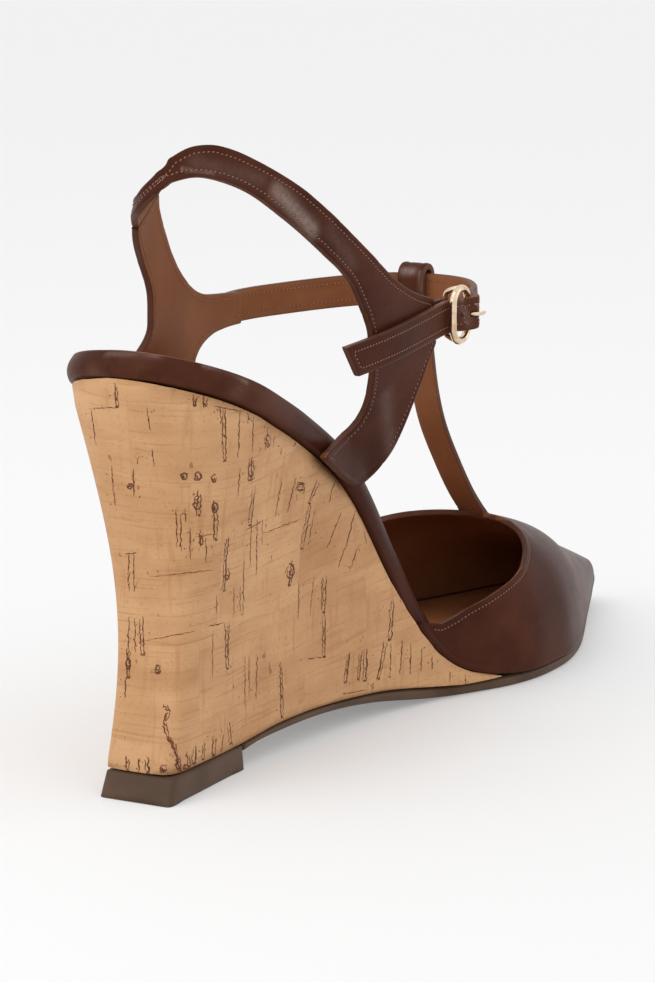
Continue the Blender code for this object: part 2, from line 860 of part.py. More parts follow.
def make_vamp(mat):
    """Vamp as one bent wall, open over the instep and under the foot."""
    rear = (0.4445, 0.456, 0.474, 0.490, 0.508, 0.530, 0.552, 0.578, 0.604, 0.630,
            0.652, 0.670, 0.685, 0.698, 0.708, 0.7145)
    front = (0.716, 0.735, 0.760, 0.790, 0.820, 0.850, 0.880, 0.910, 0.935, 0.954)
    steps = 9
    toe_reach = TOE_TIP - TOE_ROUND
    toe = [math.sin(a) for a in toe_angles(5)]

    def grid(inset):
        shares = list(rear) + list(front)
        reach = toe_reach - TOE_DRAW * inset / LENGTH
        shares += [TOE_ROUND + reach * t for t in toe]
        net = []
        for share in shares:
            row = []
            for side in (-1, 1):
                top = topline_turn(share, side) if share < THROAT else 1.0
                part = []
                for k in range(steps + 1):
                    turn = top * k / steps
                    part.append(vamp_point(share, side, turn, inset))
                row.append(part)
            net.append(row[0] + list(reversed(row[1])))
        return net

    outer = grid(0.0)
    inner = grid(VAMP_WALL)
    width = 2 * (steps + 1)
    verts = [p for row in outer for p in row] + [p for row in inner for p in row]
    shift = len(outer) * width
    faces = []
    rows = len(outer)
    split = len(rear)
    for i in range(rows - 1):
        for j in range(width - 1):
            if j == steps and i < split:
                continue
            a = i * width + j
            b = a + 1
            faces.append((a, b, b + width, a + width))
            faces.append((a + shift, a + width + shift, b + width + shift, b + shift))

    def rim(path):
        for a, b in zip(path, path[1:]):
            faces.append((a, b, b + shift, a + shift))

    rim([i * width for i in range(rows)])
    rim([i * width + width - 1 for i in range(rows)])
    rim([i * width + steps for i in range(split + 1)])
    rim([i * width + steps + 1 for i in range(split + 1)])
    rim(list(range(0, steps + 1)))
    rim(list(range(steps + 1, width)))
    last = (rows - 1) * width
    faces.append(tuple(last + j for j in range(width)))
    faces.append(tuple(last + shift + j for j in reversed(range(width))))
    rim([last, last + width - 1])
    return add_object("vamp", verts, faces, mat)


# Straps


class Plan:
    """The ankle seen from above, measured along its curve from the back."""

    def __init__(self, side):
        column = 1 if side < 0 else 2
        rows = [(along(r[0]), side * STRAP_SPAN * r[column]) for r in ANKLE]
        first = Vector((along(ANKLE[0][0]) - 0.0006, self.middle_back()))
        last = Vector((along(ANKLE[-1][0]) + 0.0004, 0.0))
        points = [first] + [Vector(r) for r in rows] + [last]
        self.side = side
        self.line = spline(points, 5)
        self.run = [0.0]
        for a, b in zip(self.line, self.line[1:]):
            self.run.append(self.run[-1] + (b - a).length)

    @staticmethod
    def middle_back():
        return -STRAP_SPAN * 0.05

    def at(self, distance):
        distance = min(max(distance, 0.0), self.run[-1] - 1e-9)
        i = max(k for k in range(len(self.run) - 1) if self.run[k] <= distance)
        t = (distance - self.run[i]) / (self.run[i + 1] - self.run[i])
        return self.line[i].lerp(self.line[i + 1], t)

    def distance_of(self, x):
        for i in range(len(self.line) - 1):
            a, b = self.line[i].x, self.line[i + 1].x
            if a <= x <= b and b > a:
                t = (x - a) / (b - a)
                return self.run[i] + t * (self.run[i + 1] - self.run[i])
        return self.run[-1]


def edge_height(rise):
    if rise <= 1.0:
        return rise * STRAP_HEIGHT
    return STRAP_HEIGHT + (rise - 1.0) * SLING_RISE


def rim_top(share):
    """Height of the rim's upper edge."""
    nx, nz = base_normal(share)
    return base_height(share) + board_thickness(share) * nz + board_thickness(share) * nx * 0.6


def leather_point(plans, u, z):
    """Middle of the leather.  u is signed: below zero on the lateral side."""
    side = -1 if u < 0 else 1
    plan = plans[side]
    spot = plan.at(abs(u))
    share = share_at(spot.x)
    y = spot.y
    over = (z - STRAP_HEIGHT - 0.35 * SLING_RISE) / (0.65 * SLING_RISE)
    if over > 0.0:
        keep = 1.0 - ANKLE_LEAN * over
        pivot = along(0.25)
        spot = Vector((pivot + (spot.x - pivot) * keep, spot.y * keep))
        y = spot.y
    if z < STRAP_HEIGHT and share > 0.15:
        snug = side * (half_width(share, side) + GAP + 0.5 * LEATHER)
        rim = rim_top(share) + 0.0010
        up = min(max((z - rim) / (STRAP_HEIGHT - rim), 0.0), 1.0)
        lean = 0.6 * math.sin(0.5 * math.pi * up) + 0.4 * ease(up)
        y = snug + (y - snug) * lean
    return Vector((spot.x, y, z))


def leather_normal(plans, u, z):
    step = 0.0008
    du = leather_point(plans, u + step, z) - leather_point(plans, u - step, z)
    dz = leather_point(plans, u, z + step) - leather_point(plans, u, z - step)
    normal = dz.cross(du)
    if normal.length < 1e-12:
        return Vector((-1.0, 0.0, 0.0))
    normal.normalize()
    return normal


def leather_sheet(name, plans, outline, mat, spacing=0.0055):
    """Sheet of leather bent round the ankle, from its outline in (u, z)."""
    count = len(outline)
    us = [p[0] for p in outline]
    zs = [p[1] for p in outline]
    points = [Vector(p) for p in outline]
    inner = []
    u = min(us) + spacing
    while u < max(us):
        step = spacing if abs(u) > BACK_BEND else 0.5 * spacing
        z = min(zs) + spacing
        while z < max(zs):
            if inside(outline, u, z) and clear_of(outline, u, z, 0.45 * spacing):
                inner.append(Vector((u, z)))
            z += spacing
        u += step
    result = delaunay_2d_cdt(points + inner, [], [list(range(count))], 1, 1e-7)
    flat, faces = result[0], result[2]
    rim_of = {}
    for face in faces:
        for a, b in zip(face, face[1:] + face[:1]):
            rim_of[(a, b)] = rim_of.get((a, b), 0) + 1
    outer, lining = [], []
    for p in flat:
        middle = leather_point(plans, p[0], p[1])
        normal = leather_normal(plans, p[0], p[1])
        outer.append(middle + 0.5 * LEATHER * normal)
        lining.append(middle - 0.5 * LEATHER * normal)
    shift = len(outer)
    solid = []
    for face in faces:
        solid.append(tuple(face))
        solid.append(tuple(i + shift for i in reversed(face)))
        for a, b in zip(face, face[1:] + face[:1]):
            if (b, a) not in rim_of:
                solid.append((b, a, a + shift, b + shift))
    return add_object(name, outer + lining, solid, mat)


def inside(outline, u, z):
    odd = False
    for (u1, z1), (u2, z2) in zip(outline, outline[1:] + outline[:1]):
        if (z1 > z) != (z2 > z) and u < (u2 - u1) * (z - z1) / (z2 - z1) + u1:
            odd = not odd
    return odd


def clear_of(outline, u, z, room):
    return all(math.hypot(p[0] - u, p[1] - z) > room for p in outline)


def edge_line(plans, side, rows, per_span=3):
    """Edge in (u, z) on one side of the ankle."""
    points = []
    for share, rise in rows:
        u = side * plans[side].distance_of(along(share))
        points.append((u, edge_height(rise)))
    return [tuple(p) for p in spline(points, per_span)]


def make_lateral_quarter(plans, mat):
    """Lateral quarter and heel strap, cut in one piece."""
    upper = edge_line(plans, -1, LATERAL_UPPER_EDGE)
    lower = edge_line(plans, -1, LATERAL_LOWER_EDGE)
    front = edge_line(plans, -1, LATERAL_FRONT_EDGE)
    crest = [upper[0], (0.0, edge_height(BACK_CREST))]
    crest += edge_line(plans, 1, SLING_CREST, 1) + edge_line(plans, 1, (SEAM_TOP,), 1)
    hollow = edge_line(plans, 1, (SEAM_LOW,), 1) + edge_line(plans, 1, SLING_HOLLOW, 1)
    hollow += [(0.0, edge_height(BACK_HOLLOW)), lower[-1]]
    over = [tuple(p) for p in spline(crest, 6)]
    under = [tuple(p) for p in spline(hollow, 6)]
    outline = list(reversed(upper))[:-1] + over + under[:-1] + list(reversed(lower))
    outline += list(reversed(front))
    return leather_sheet("lateral_quarter", plans, outline, mat)


def make_medial_quarter(plans, mat):
    """Medial quarter: stem, arm to the heel strap and arm to the ankle strap."""
    upper = edge_line(plans, 1, (SEAM_TOP,) + MEDIAL_UPPER_EDGE)
    lower = edge_line(plans, 1, MEDIAL_LOWER_EDGE + (SEAM_LOW,))
    front = edge_line(plans, 1, MEDIAL_FRONT_EDGE)
    room = 1.3 * GAP
    upper[0] = (upper[0][0], upper[0][1] - room)
    lower[-1] = (lower[-1][0], lower[-1][1] - room)
    outline = upper + front + lower
    return leather_sheet("medial_quarter", plans, outline, mat)


def strap_station(plans, side, distance, offset):
    """Point and outward normal of the ankle strap's plan."""
    plan = plans[side]
    step = 0.0012
    a = plan.at(distance - step)
    b = plan.at(distance + step)
    if distance + step > plan.run[-1]:
        tangent = Vector((0.0, -float(side)))
    else:
        tangent = (b - a).normalized()
    normal = Vector((tangent.y, -tangent.x)) * (-side)
    spot = plan.at(distance)
    return spot + normal * offset, normal


def ankle_path(plans, count_per_span=8):
    """Stations of the ankle strap: point, normal, height."""
    anchors = []
    whole = plans[1].run[-1]
    for side, share, rise in ANKLE_LINE:
        d = plans[side].distance_of(along(share))
        run = d if side > 0 else whole + (plans[-1].run[-1] - d)
        anchors.append((run, rise * STRAP_HEIGHT))
    path = []
    for run, z in spline(anchors, count_per_span):
        side = 1 if run <= whole else -1
        distance = run if side > 0 else plans[-1].run[-1] - (run - whole)
        path.append((side, distance, z))
    return path


def buckle_distance(plans):
    return plans[-1].distance_of(along(BUCKLE_ALONG))


def strap_offset(ahead):
    """Offset of the strap's middle, ahead of the buckle's middle: under the
    frame's rear side, over its front side."""
    base = LEATHER + GAP
    half = 0.5 * (BUCKLE_LONG - BUCKLE_WIRE)
    over = BUCKLE_WIRE + LEATHER + 2.0 * GAP + FRAME_LIFT + HUMP_ROOM
    if ahead < half:
        return base + over * ease((ahead + half) / (2.0 * half))
    return base + over * (1.0 - ease((ahead - half) / HUMP_REACH))


def lateral_height(lateral, distance):
    """Height of the strap's middle at a distance along the lateral side."""
    for (_, d1, z1), (_, d2, z2) in zip(lateral, lateral[1:]):
        if d2 <= distance <= d1:
            return z2 + (z1 - z2) * (distance - d2) / (d1 - d2)
    return lateral[0][2]


def make_ankle_strap(plans, mat):
    """Ankle strap from the medial quarter through loop and buckle to its tail."""
    rings = []
    seat = buckle_distance(plans)
    path = ankle_path(plans)
    lateral = [row for row in path if row[0] < 0]
    end = lateral[-1][1]
    half = 0.5 * ANKLE_WIDTH
    for side, distance, z in path:
        ring = []
        for up, layer in ((-1, -1), (1, -1), (1, 1), (-1, 1)):
            here, level = distance, z
            if side < 0 and up < 0:
                here += TAIL_SLANT * (1.0 - min(1.0, (distance - end) / TAIL_RUN))
                level = lateral_height(lateral, here)
            out = LEATHER + GAP if side > 0 else strap_offset(here - seat)
            spot, normal = strap_station(plans, side, here, out + 0.5 * layer * LEATHER)
            ring.append((spot.x, spot.y, level + up * half))
        rings.append(ring)
    strap = rings_to_solid("ankle_strap", rings, mat)
    middle = strap_offset(PRONG_AHEAD)
    inner = spot_at(plans, seat + PRONG_AHEAD, middle - 2.0 * LEATHER)
    outer = spot_at(plans, seat + PRONG_AHEAD, middle + 2.0 * LEATHER)
    hole = tube("hole", [inner, outer], 0.5 * PRONG_WIRE + GAP, mat, 10)
    cut_body(strap, hole)
    return strap


def strap_height_at(plans, distance):
    """Height of the ankle strap's middle on the lateral side."""
    path = [p for p in ankle_path(plans) if p[0] < 0]
    best = min(path, key=lambda p: abs(p[1] - distance))
    return best[2]


def spot_at(plans, distance, offset, up=0.0):
    """Point near the buckle: along the lateral plan, outward and up."""
    spot, normal = strap_station(plans, -1, distance, offset)
    z = strap_height_at(plans, buckle_distance(plans)) + up
    return Vector((spot.x, spot.y, z))


def tube(name, path, radius, mat, sides=8, closed=False):
    """Round rod along a path of points."""
    rings = []
    count = len(path)
    keep = None
    for i, p in enumerate(path):
        if closed:
            tangent = path[(i + 1) % count] - path[i - 1]
        else:
            tangent = path[min(i + 1, count - 1)] - path[max(i - 1, 0)]
        tangent.normalize()
        if keep is None:
            keep = tangent.orthogonal().normalized()
        keep = (keep - tangent * keep.dot(tangent)).normalized()
        side = tangent.cross(keep)
        ring = []
        for k in range(sides):
            angle = 2.0 * math.pi * k / sides
            ring.append(p + radius * (math.cos(angle) * keep + math.sin(angle) * side))
        rings.append(ring)
    if not closed:
        return rings_to_solid(name, rings, mat)
    verts = [q for ring in rings for q in ring]
    faces = []
    for i in range(count):
        for j in range(sides):
            a = i * sides + j
            b = i * sides + (j + 1) % sides
            c = ((i + 1) % count) * sides + (j + 1) % sides
            d = ((i + 1) % count) * sides + j
            faces.append((a, b, c, d))
    return add_object(name, verts, faces, mat)


def make_buckle(plans, mat):
    """Frame with its bar set back behind the strap."""
    seat = buckle_distance(plans)
    centre = spot_at(plans, seat, 0.0)
    ahead = spot_at(plans, seat + 0.004, 0.0)
    behind = spot_at(plans, seat - 0.004, 0.0)
    run = (ahead - behind).normalized()
    up = Vector((0.0, 0.0, 1.0))
    out = Vector((run.y, -run.x, 0.0))
    frame_out = frame_offset()
    path = []
    half_long = 0.5 * (BUCKLE_LONG - BUCKLE_WIRE)
    half_tall = 0.5 * (BUCKLE_TALL - BUCKLE_WIRE)
    for sx, sz, start in ((1, 1, 0), (-1, 1, 90), (-1, -1, 180), (1, -1, 270)):
        for k in range(6):
            angle = math.radians(start + 18 * k)
            a = sx * (half_long - BUCKLE_ROUND) + BUCKLE_ROUND * math.cos(angle)
            b = sz * (half_tall - BUCKLE_ROUND) + BUCKLE_ROUND * math.sin(angle)
            path.append(centre + run * a + up * b + out * frame_out)
    ring = tube("buckle_frame", path, 0.5 * BUCKLE_WIRE, mat, 10, closed=True)
    bar_out = bar_offset()
    bar = []
    for t, o in ((-1.0, 1.0), (-0.96, 0.55), (-0.84, 0.12), (-0.72, 0.0), (0.72, 0.0),
                 (0.84, 0.12), (0.96, 0.55), (1.0, 1.0)):
        bar.append(centre + up * half_tall * t + out * (bar_out + (frame_out - bar_out) * o))
    rod = tube("bar", bar, 0.5 * BAR_WIRE, mat, 10)
    join_bodies(ring, rod)
    return ring


def frame_offset():
    """The frame's rear side lies on the strap, which lies on the quarter."""
    return 1.5 * LEATHER + 2.0 * GAP + 0.5 * BUCKLE_WIRE + FRAME_LIFT


def bar_offset():
    """The bar lies behind the strap with the tab wrapped round it."""
    strap_inside = 0.5 * LEATHER + GAP + STRAP_LIFT
    return strap_inside - GAP - TAB_LEATHER - GAP - 0.5 * BAR_WIRE


def make_prong(plans, mat):
    """Prong: an eye round the bar, up through the strap, onto the frame."""
    seat = buckle_distance(plans)
    eye = 0.5 * BAR_WIRE + GAP + 0.5 * PRONG_WIRE
    bar = bar_offset()
    path = []
    for degrees in range(-200, 11, 30):
        a = math.radians(degrees)
        path.append(spot_at(plans, seat + eye * math.cos(a), bar + eye * math.sin(a)))
    through = strap_offset(PRONG_AHEAD)
    half = 0.5 * (BUCKLE_LONG - BUCKLE_WIRE)
    peak = strap_offset(half) + 0.5 * LEATHER + GAP + 0.5 * PRONG_WIRE
    path.append(spot_at(plans, seat + 0.9 * PRONG_AHEAD, bar + LEATHER))
    path.append(spot_at(plans, seat + PRONG_AHEAD, through - LEATHER))
    path.append(spot_at(plans, seat + PRONG_AHEAD, through + LEATHER))
    path.append(spot_at(plans, seat + PRONG_AHEAD + PRONG_WIRE, peak))
    path.append(spot_at(plans, seat + half, peak + 0.5 * GAP))
    path.append(spot_at(plans, seat + half + PRONG_TIP, peak))
    return tube("buckle_prong", path, 0.5 * PRONG_WIRE, mat, 8)


def make_tab(plans, mat):
    """Tab folded round the bar; its long end lies inside the quarter."""
    seat = buckle_distance(plans)
    bar = bar_offset()
    fold = 0.5 * BAR_WIRE + GAP + 0.5 * TAB_LEATHER
    inner = -(0.5 * LEATHER + TAB_SLACK + 0.5 * TAB_LEATHER)
    quarter_end = plans[-1].distance_of(along(0.392))
    points = [(quarter_end - TAB_TAIL, inner), (quarter_end, inner),
              (seat - 2.0 * fold, bar - fold)]
    for angle in range(-90, 91, 30):
        a = math.radians(angle)
        points.append((seat + fold * math.cos(a), bar + fold * math.sin(a)))
    points.append((seat - 0.6 * fold, bar + fold))
    points.append((seat - 2.2 * fold, bar + 0.25 * fold))
    rings = []
    for i, (d, o) in enumerate(points):
        here = spot_at(plans, d, o)
        before = spot_at(plans, *points[max(i - 1, 0)])
        after = spot_at(plans, *points[min(i + 1, len(points) - 1)])
        tangent = (after - before).normalized()
        side = Vector((tangent.y, -tangent.x, 0.0)) * 0.5 * TAB_LEATHER
        tall = Vector((0.0, 0.0, 0.5 * TAB_WIDTH))
        rings.append([here - side - tall, here + side - tall, here + side + tall,
                      here - side + tall])
    tab = rings_to_solid("buckle_tab", rings, mat)
    near = spot_at(plans, seat - 1.9 * fold, bar)
    far = spot_at(plans, seat + 0.0060, bar)
    slot = box_between("slot", near, far, 0.0080, PRONG_SLOT, mat)
    cut_body(tab, slot)
    return tab


def box_between(name, a, b, wide, tall, mat):
    """Level box from point a to point b."""
    run = (b - a).normalized()
    side = Vector((run.y, -run.x, 0.0)) * 0.5 * wide
    up = Vector((0.0, 0.0, 0.5 * tall))
    rings = []
    for p in (a, b):
        rings.append([p - side - up, p + side - up, p + side + up, p - side + up])
    return rings_to_solid(name, rings, mat)


def make_t_strap(plans, mat):
    """T-strap from the throat to the fold round the ankle strap."""
    strap_x = plans[-1].at(plans[-1].run[-1]).x + LEATHER + GAP
    strap_top = ANKLE_LINE[4][2] * STRAP_HEIGHT + 0.5 * ANKLE_WIDTH
    strap_low = strap_top - ANKLE_WIDTH
    layer = LEATHER + GAP
    fold = layer + FOLD_ROOM
    points = [(along(s), r * STRAP_HEIGHT) for s, r in T_LINE]
    line = [tuple(p) for p in spline(points, 3)][:-1]
    line += [(strap_x + fold, strap_low - 0.0030), (strap_x + fold, strap_low + 0.0020)]
    centre_z = strap_top - 0.0004
    for angle in range(0, 181, 30):
        a = math.radians(angle)
        line.append((strap_x + fold * math.cos(a), centre_z + fold * math.sin(a)))
    line.append((strap_x - fold, strap_low))
    line.append((strap_x - fold, centre_z - LOOP_DROP))
    rings = []
    last = len(line) - 1
    for i, (x, z) in enumerate(line):
        before = Vector(line[max(i - 1, 0)])
        after = Vector(line[min(i + 1, last)])
        tangent = (after - before).normalized()
        nx, nz = tangent.y * 0.5 * LEATHER, -tangent.x * 0.5 * LEATHER
        half = 0.5 * T_WIDTH
        rings.append([(x - nx, T_SIDE - half, z - nz), (x + nx, T_SIDE - half, z + nz),
                      (x + nx, T_SIDE + half, z + nz), (x - nx, T_SIDE + half, z - nz)])
    return rings_to_solid("t_strap", rings, mat)


def main():
    clear_scene()
    cork = material("cork", CORK_TAN, 0.75)
    leather = material("leather", LEATHER_BROWN, 0.38)
    lining = material("lining_leather", LINING_TAN, 0.60)
    rubber = material("rubber", RUBBER_BROWN, 0.65)
    gold = material("pale_gold", PALE_GOLD, 0.25, 1.0)
    make_top_lift(rubber)
    make_outsole(rubber)
    make_wedge(cork)
    make_footbed(leather)
    make_sock(lining)
    vamp = make_vamp(leather)
    plans = {-1: Plan(-1), 1: Plan(1)}
    t_strap = make_t_strap(plans, leather)
    join_bodies(vamp, t_strap)
    make_lateral_quarter(plans, leather)
    make_medial_quarter(plans, leather)
    make_ankle_strap(plans, leather)
    make_buckle(plans, gold)
    make_prong(plans, gold)
    make_tab(plans, leather)


main()
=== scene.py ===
# %% [markdown]
# # A wedge pump with a T-strap
# The CAD model in model.glb is loaded first. It fixes every size: each leather, cork and
# metal piece below starts from the solid of the same part, so nothing has to be fitted by eye.

# %% Load the frame
import math
import random
import bmesh
import bpy
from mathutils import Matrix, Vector
from mathutils.bvhtree import BVHTree
from mathutils.geometry import intersect_point_line
from mathutils.kdtree import KDTree


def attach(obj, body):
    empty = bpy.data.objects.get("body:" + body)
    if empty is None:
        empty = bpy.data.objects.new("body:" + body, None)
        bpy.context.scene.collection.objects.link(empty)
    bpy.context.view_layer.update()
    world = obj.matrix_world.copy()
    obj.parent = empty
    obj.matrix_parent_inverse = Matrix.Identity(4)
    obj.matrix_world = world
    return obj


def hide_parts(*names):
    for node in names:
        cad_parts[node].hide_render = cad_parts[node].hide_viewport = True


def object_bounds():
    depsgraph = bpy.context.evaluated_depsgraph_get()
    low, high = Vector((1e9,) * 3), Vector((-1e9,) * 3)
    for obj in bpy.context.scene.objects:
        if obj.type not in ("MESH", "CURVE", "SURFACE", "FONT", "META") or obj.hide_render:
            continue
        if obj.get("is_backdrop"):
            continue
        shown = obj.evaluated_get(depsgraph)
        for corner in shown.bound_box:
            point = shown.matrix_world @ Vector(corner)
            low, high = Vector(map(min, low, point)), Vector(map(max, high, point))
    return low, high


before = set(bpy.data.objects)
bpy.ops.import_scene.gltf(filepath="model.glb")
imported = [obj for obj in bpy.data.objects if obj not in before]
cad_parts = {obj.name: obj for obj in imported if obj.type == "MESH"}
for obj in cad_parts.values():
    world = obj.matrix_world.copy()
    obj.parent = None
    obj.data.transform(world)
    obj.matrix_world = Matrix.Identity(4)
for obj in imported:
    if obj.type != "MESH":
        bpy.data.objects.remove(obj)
cad_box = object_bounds()
MM = 0.001
print("parts:", ", ".join(sorted(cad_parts)))

# %% [markdown]
# ## Where the picture is taken from
# The shoe is seen from behind, on its outer side, with a long lens from about a metre away. A long
# lens keeps the heel from looking larger than the toe. The camera comes first because cracks in the
# cork and the holes of the strap are placed by their spots in the picture.

# %% Camera
CAMERA_SPOT = Vector((-0.7311, -0.4666, 0.2320))
CAMERA_AIM = Vector((0.0771, 0.0, 0.0540))
LENS = 143.84
FRAME_WIDE, FRAME_TALL = 655, 982
SENSOR = 36.0

camera_data = bpy.data.cameras.new("camera")
camera_data.lens = LENS
camera = bpy.data.objects.new("camera", camera_data)
camera.location = CAMERA_SPOT
camera.rotation_euler = (CAMERA_AIM - CAMERA_SPOT).to_track_quat("-Z", "Y").to_euler()
bpy.context.scene.collection.objects.link(camera)
bpy.context.scene.camera = camera


def sight(across, down):
    """The direction from the camera through a spot of the picture, counted from its top left."""
    side = (across - FRAME_WIDE / 2) / FRAME_TALL * SENSOR / LENS
    rise = (FRAME_TALL / 2 - down) / FRAME_TALL * SENSOR / LENS
    ray = camera.rotation_euler.to_matrix() @ Vector((side, rise, -1.0))
    return ray.normalized()


print("camera", round((CAMERA_AIM - CAMERA_SPOT).length, 3), "m away")

# %% [markdown]
# ## Floor and soft light
# A product picture like this is taken on white paper with large soft lamps. One wide lamp above
# gives the gloss on the straps, a low one on the left lights the heel, a weak one on the right
# lifts the toe, and the bright sky keeps the shadow on the floor faint.

# %% Floor, lamps and sky
scene = bpy.context.scene
scene.view_settings.view_transform = "Standard"
SHOE_MIDDLE = Vector((0.09, 0.0, 0.06))
LAMPS = (
    # name, where it stands, side, watts
    ("lamp_above", (-0.30, 0.30, 1.00), 0.6, 1.7),
    ("lamp_toe", (0.70, -0.70, 0.35), 0.5, 0.4),
    ("lamp_back", (-0.85, 0.30, 0.45), 0.5, 1.5),
)
SKY_STRENGTH = 1.0
WHITE = (1.0, 1.0, 1.0, 1.0)
FLOOR_HALF = 8.0


def soft_lamp(name, spot, size, power):
    """A square lamp that looks at the middle of the shoe."""
    data = bpy.data.lights.new(name, "AREA")
    data.size = size
    data.energy = power
    lamp = bpy.data.objects.new(name, data)
    lamp.location = spot
    lamp.rotation_euler = (SHOE_MIDDLE - Vector(spot)).to_track_quat("-Z", "Y").to_euler()
    scene.collection.objects.link(lamp)


for row in LAMPS:
    soft_lamp(*row)
sky = bpy.data.worlds.new("sky")
sky.use_nodes = True
glow = sky.node_tree.nodes["Background"].inputs
glow["Color"].default_value = WHITE
glow["Strength"].default_value = SKY_STRENGTH
scene.world = sky

floor_mesh = bpy.data.meshes.new("floor")
corners = [(x * FLOOR_HALF, y * FLOOR_HALF, 0) for x, y in ((-1, -1), (1, -1), (1, 1), (-1, 1))]
floor_mesh.from_pydata(corners, [], [(0, 1, 2, 3)])
floor = bpy.data.objects.new("floor", floor_mesh)
scene.collection.objects.link(floor)
floor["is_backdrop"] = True
print("lamps:", len(LAMPS))

# %% [markdown]
# ## Shader sums written as sums
# A material is a graph of nodes. Written node by node it is long and hard to read, so one small
# class wraps a socket: adding or multiplying two wires adds the Math node that does it.


# %% A wire that can be added and multiplied
class Wire:
    """A socket of a material's graph. Sums of wires and numbers become Math nodes."""

    def __init__(self, tree, socket=None):
        self.tree = tree
        self.socket = socket

    def node(self, kind, settings=None, values=None, out=0):
        """A new node: its settings are set first, then its sockets are filled or linked."""
        made = self.tree.nodes.new(kind)
        for key, value in (settings or {}).items():
            setattr(made, key, value)
        for key, value in (values or {}).items():
            sockets = made.inputs
            place = sockets[key] if isinstance(key, int) else next(
                s for s in sockets if key in (s.identifier, s.name))
            if isinstance(value, Wire):
                self.tree.links.new(value.socket, place)
            else:
                place.default_value = value
        outlet = made.outputs[out] if isinstance(out, int) else next(
            s for s in made.outputs if out in (s.identifier, s.name))
        return Wire(self.tree, outlet)

    def sum(self, operation, *values):
        return self.node("ShaderNodeMath", {"operation": operation}, dict(enumerate(values)))

    def __add__(self, other):
        return self.sum("ADD", self, other)

    def __radd__(self, other):
        return self.sum("ADD", other, self)

    def __sub__(self, other):
        return self.sum("SUBTRACT", self, other)

    def __rsub__(self, other):
        return self.sum("SUBTRACT", other, self)

    def __mul__(self, other):
        return self.sum("MULTIPLY", self, other)

    def __rmul__(self, other):
        return self.sum("MULTIPLY", other, self)

    def __truediv__(self, other):
        return self.sum("DIVIDE", self, other)

    def fade(self, start, end):
        """0 up to start, 1 from end on, with a soft step between."""
        return self.node("ShaderNodeMapRange", {"interpolation_type": "SMOOTHSTEP"},
                         {"Value": self, "From Min": start, "From Max": end})

    def blend(self, first, second):
        """The first colour where this wire is 0 and the second where it is 1."""
        return self.node("ShaderNodeMix", {"data_type": "RGBA"},
                         {"Factor_Float": self, "A_Color": first, "B_Color": second},
                         "Result_Color")

    def noise(self, place, scale, detail=3.0, rough=0.5, stretch=None):
        """Cloudy noise. scale is in patches a metre, and stretch scales the three directions."""
        spot = place if stretch is None else self.node(
            "ShaderNodeMapping", {}, {"Vector": place, "Scale": stretch})
        return self.node("ShaderNodeTexNoise", {},
                         {"Vector": spot, "Scale": scale, "Detail": detail, "Roughness": rough})


def tint(red, green, blue):
    """A colour given as it looks on a screen, 0 to 255, in the linear form that shaders use."""
    def linear(value):
        share = value / 255
        return share / 12.92 if share <= 0.04045 else ((share + 0.055) / 1.055) ** 2.4
    return (linear(red), linear(green), linear(blue), 1.0)


def new_finish(name):
    """A material with its Principled shader, a wire to build from, and the place on the object."""
    material = bpy.data.materials.new(name)
    material.use_nodes = True
    wire = Wire(material.node_tree)
    place = wire.node("ShaderNodeTexCoord", {}, {}, "Object")
    return material, material.node_tree.nodes["Principled BSDF"], wire, place


def plug(wire, shader, **sockets):
    """Links wires to the shader's sockets, or sets them to plain values."""
    for name, value in sockets.items():
        place = shader.inputs[name.replace("_", " ")]
        if isinstance(value, Wire):
            wire.tree.links.new(value.socket, place)
        else:
            place.default_value = value


# %% [markdown]
# ## White paper
# The floor of a product picture is nearly as white as its background. The paper is a pale grey
# that glows a little, so it stays light without stronger lamps, which would wash out the leather.

# %% The paper of the floor
PAPER = (0.60, 0.60, 0.60, 1.0)
PAPER_GLOW = 0.25
paper, paper_shader, paper_wire, _ = new_finish("paper")
plug(paper_wire, paper_shader, Base_Color=PAPER, Roughness=0.9, Emission_Color=WHITE,
     Emission_Strength=PAPER_GLOW)
floor_mesh.materials.append(paper)
print("floor:", paper.name)

# %% [markdown]
# ## Leather
# The upper is smooth calf that was dyed, polished and pulled over the last. Three things make it
# read as leather: a slow change of colour with painted sheen, lighter where highlights fall, fine
# grain a third of a millimetre across, and a thin clear coat over an uneven gloss.


# %% Leather finishes
# The colour that painted sheen blends in, where highlights fall on the leather.
PAINTED_SHEEN_COLOUR = tint(158, 136, 126)
GRAIN_DEEP = 0.12 * MM
LEATHER_SPECULAR = 0.03
COAT_ROUGH = 0.28


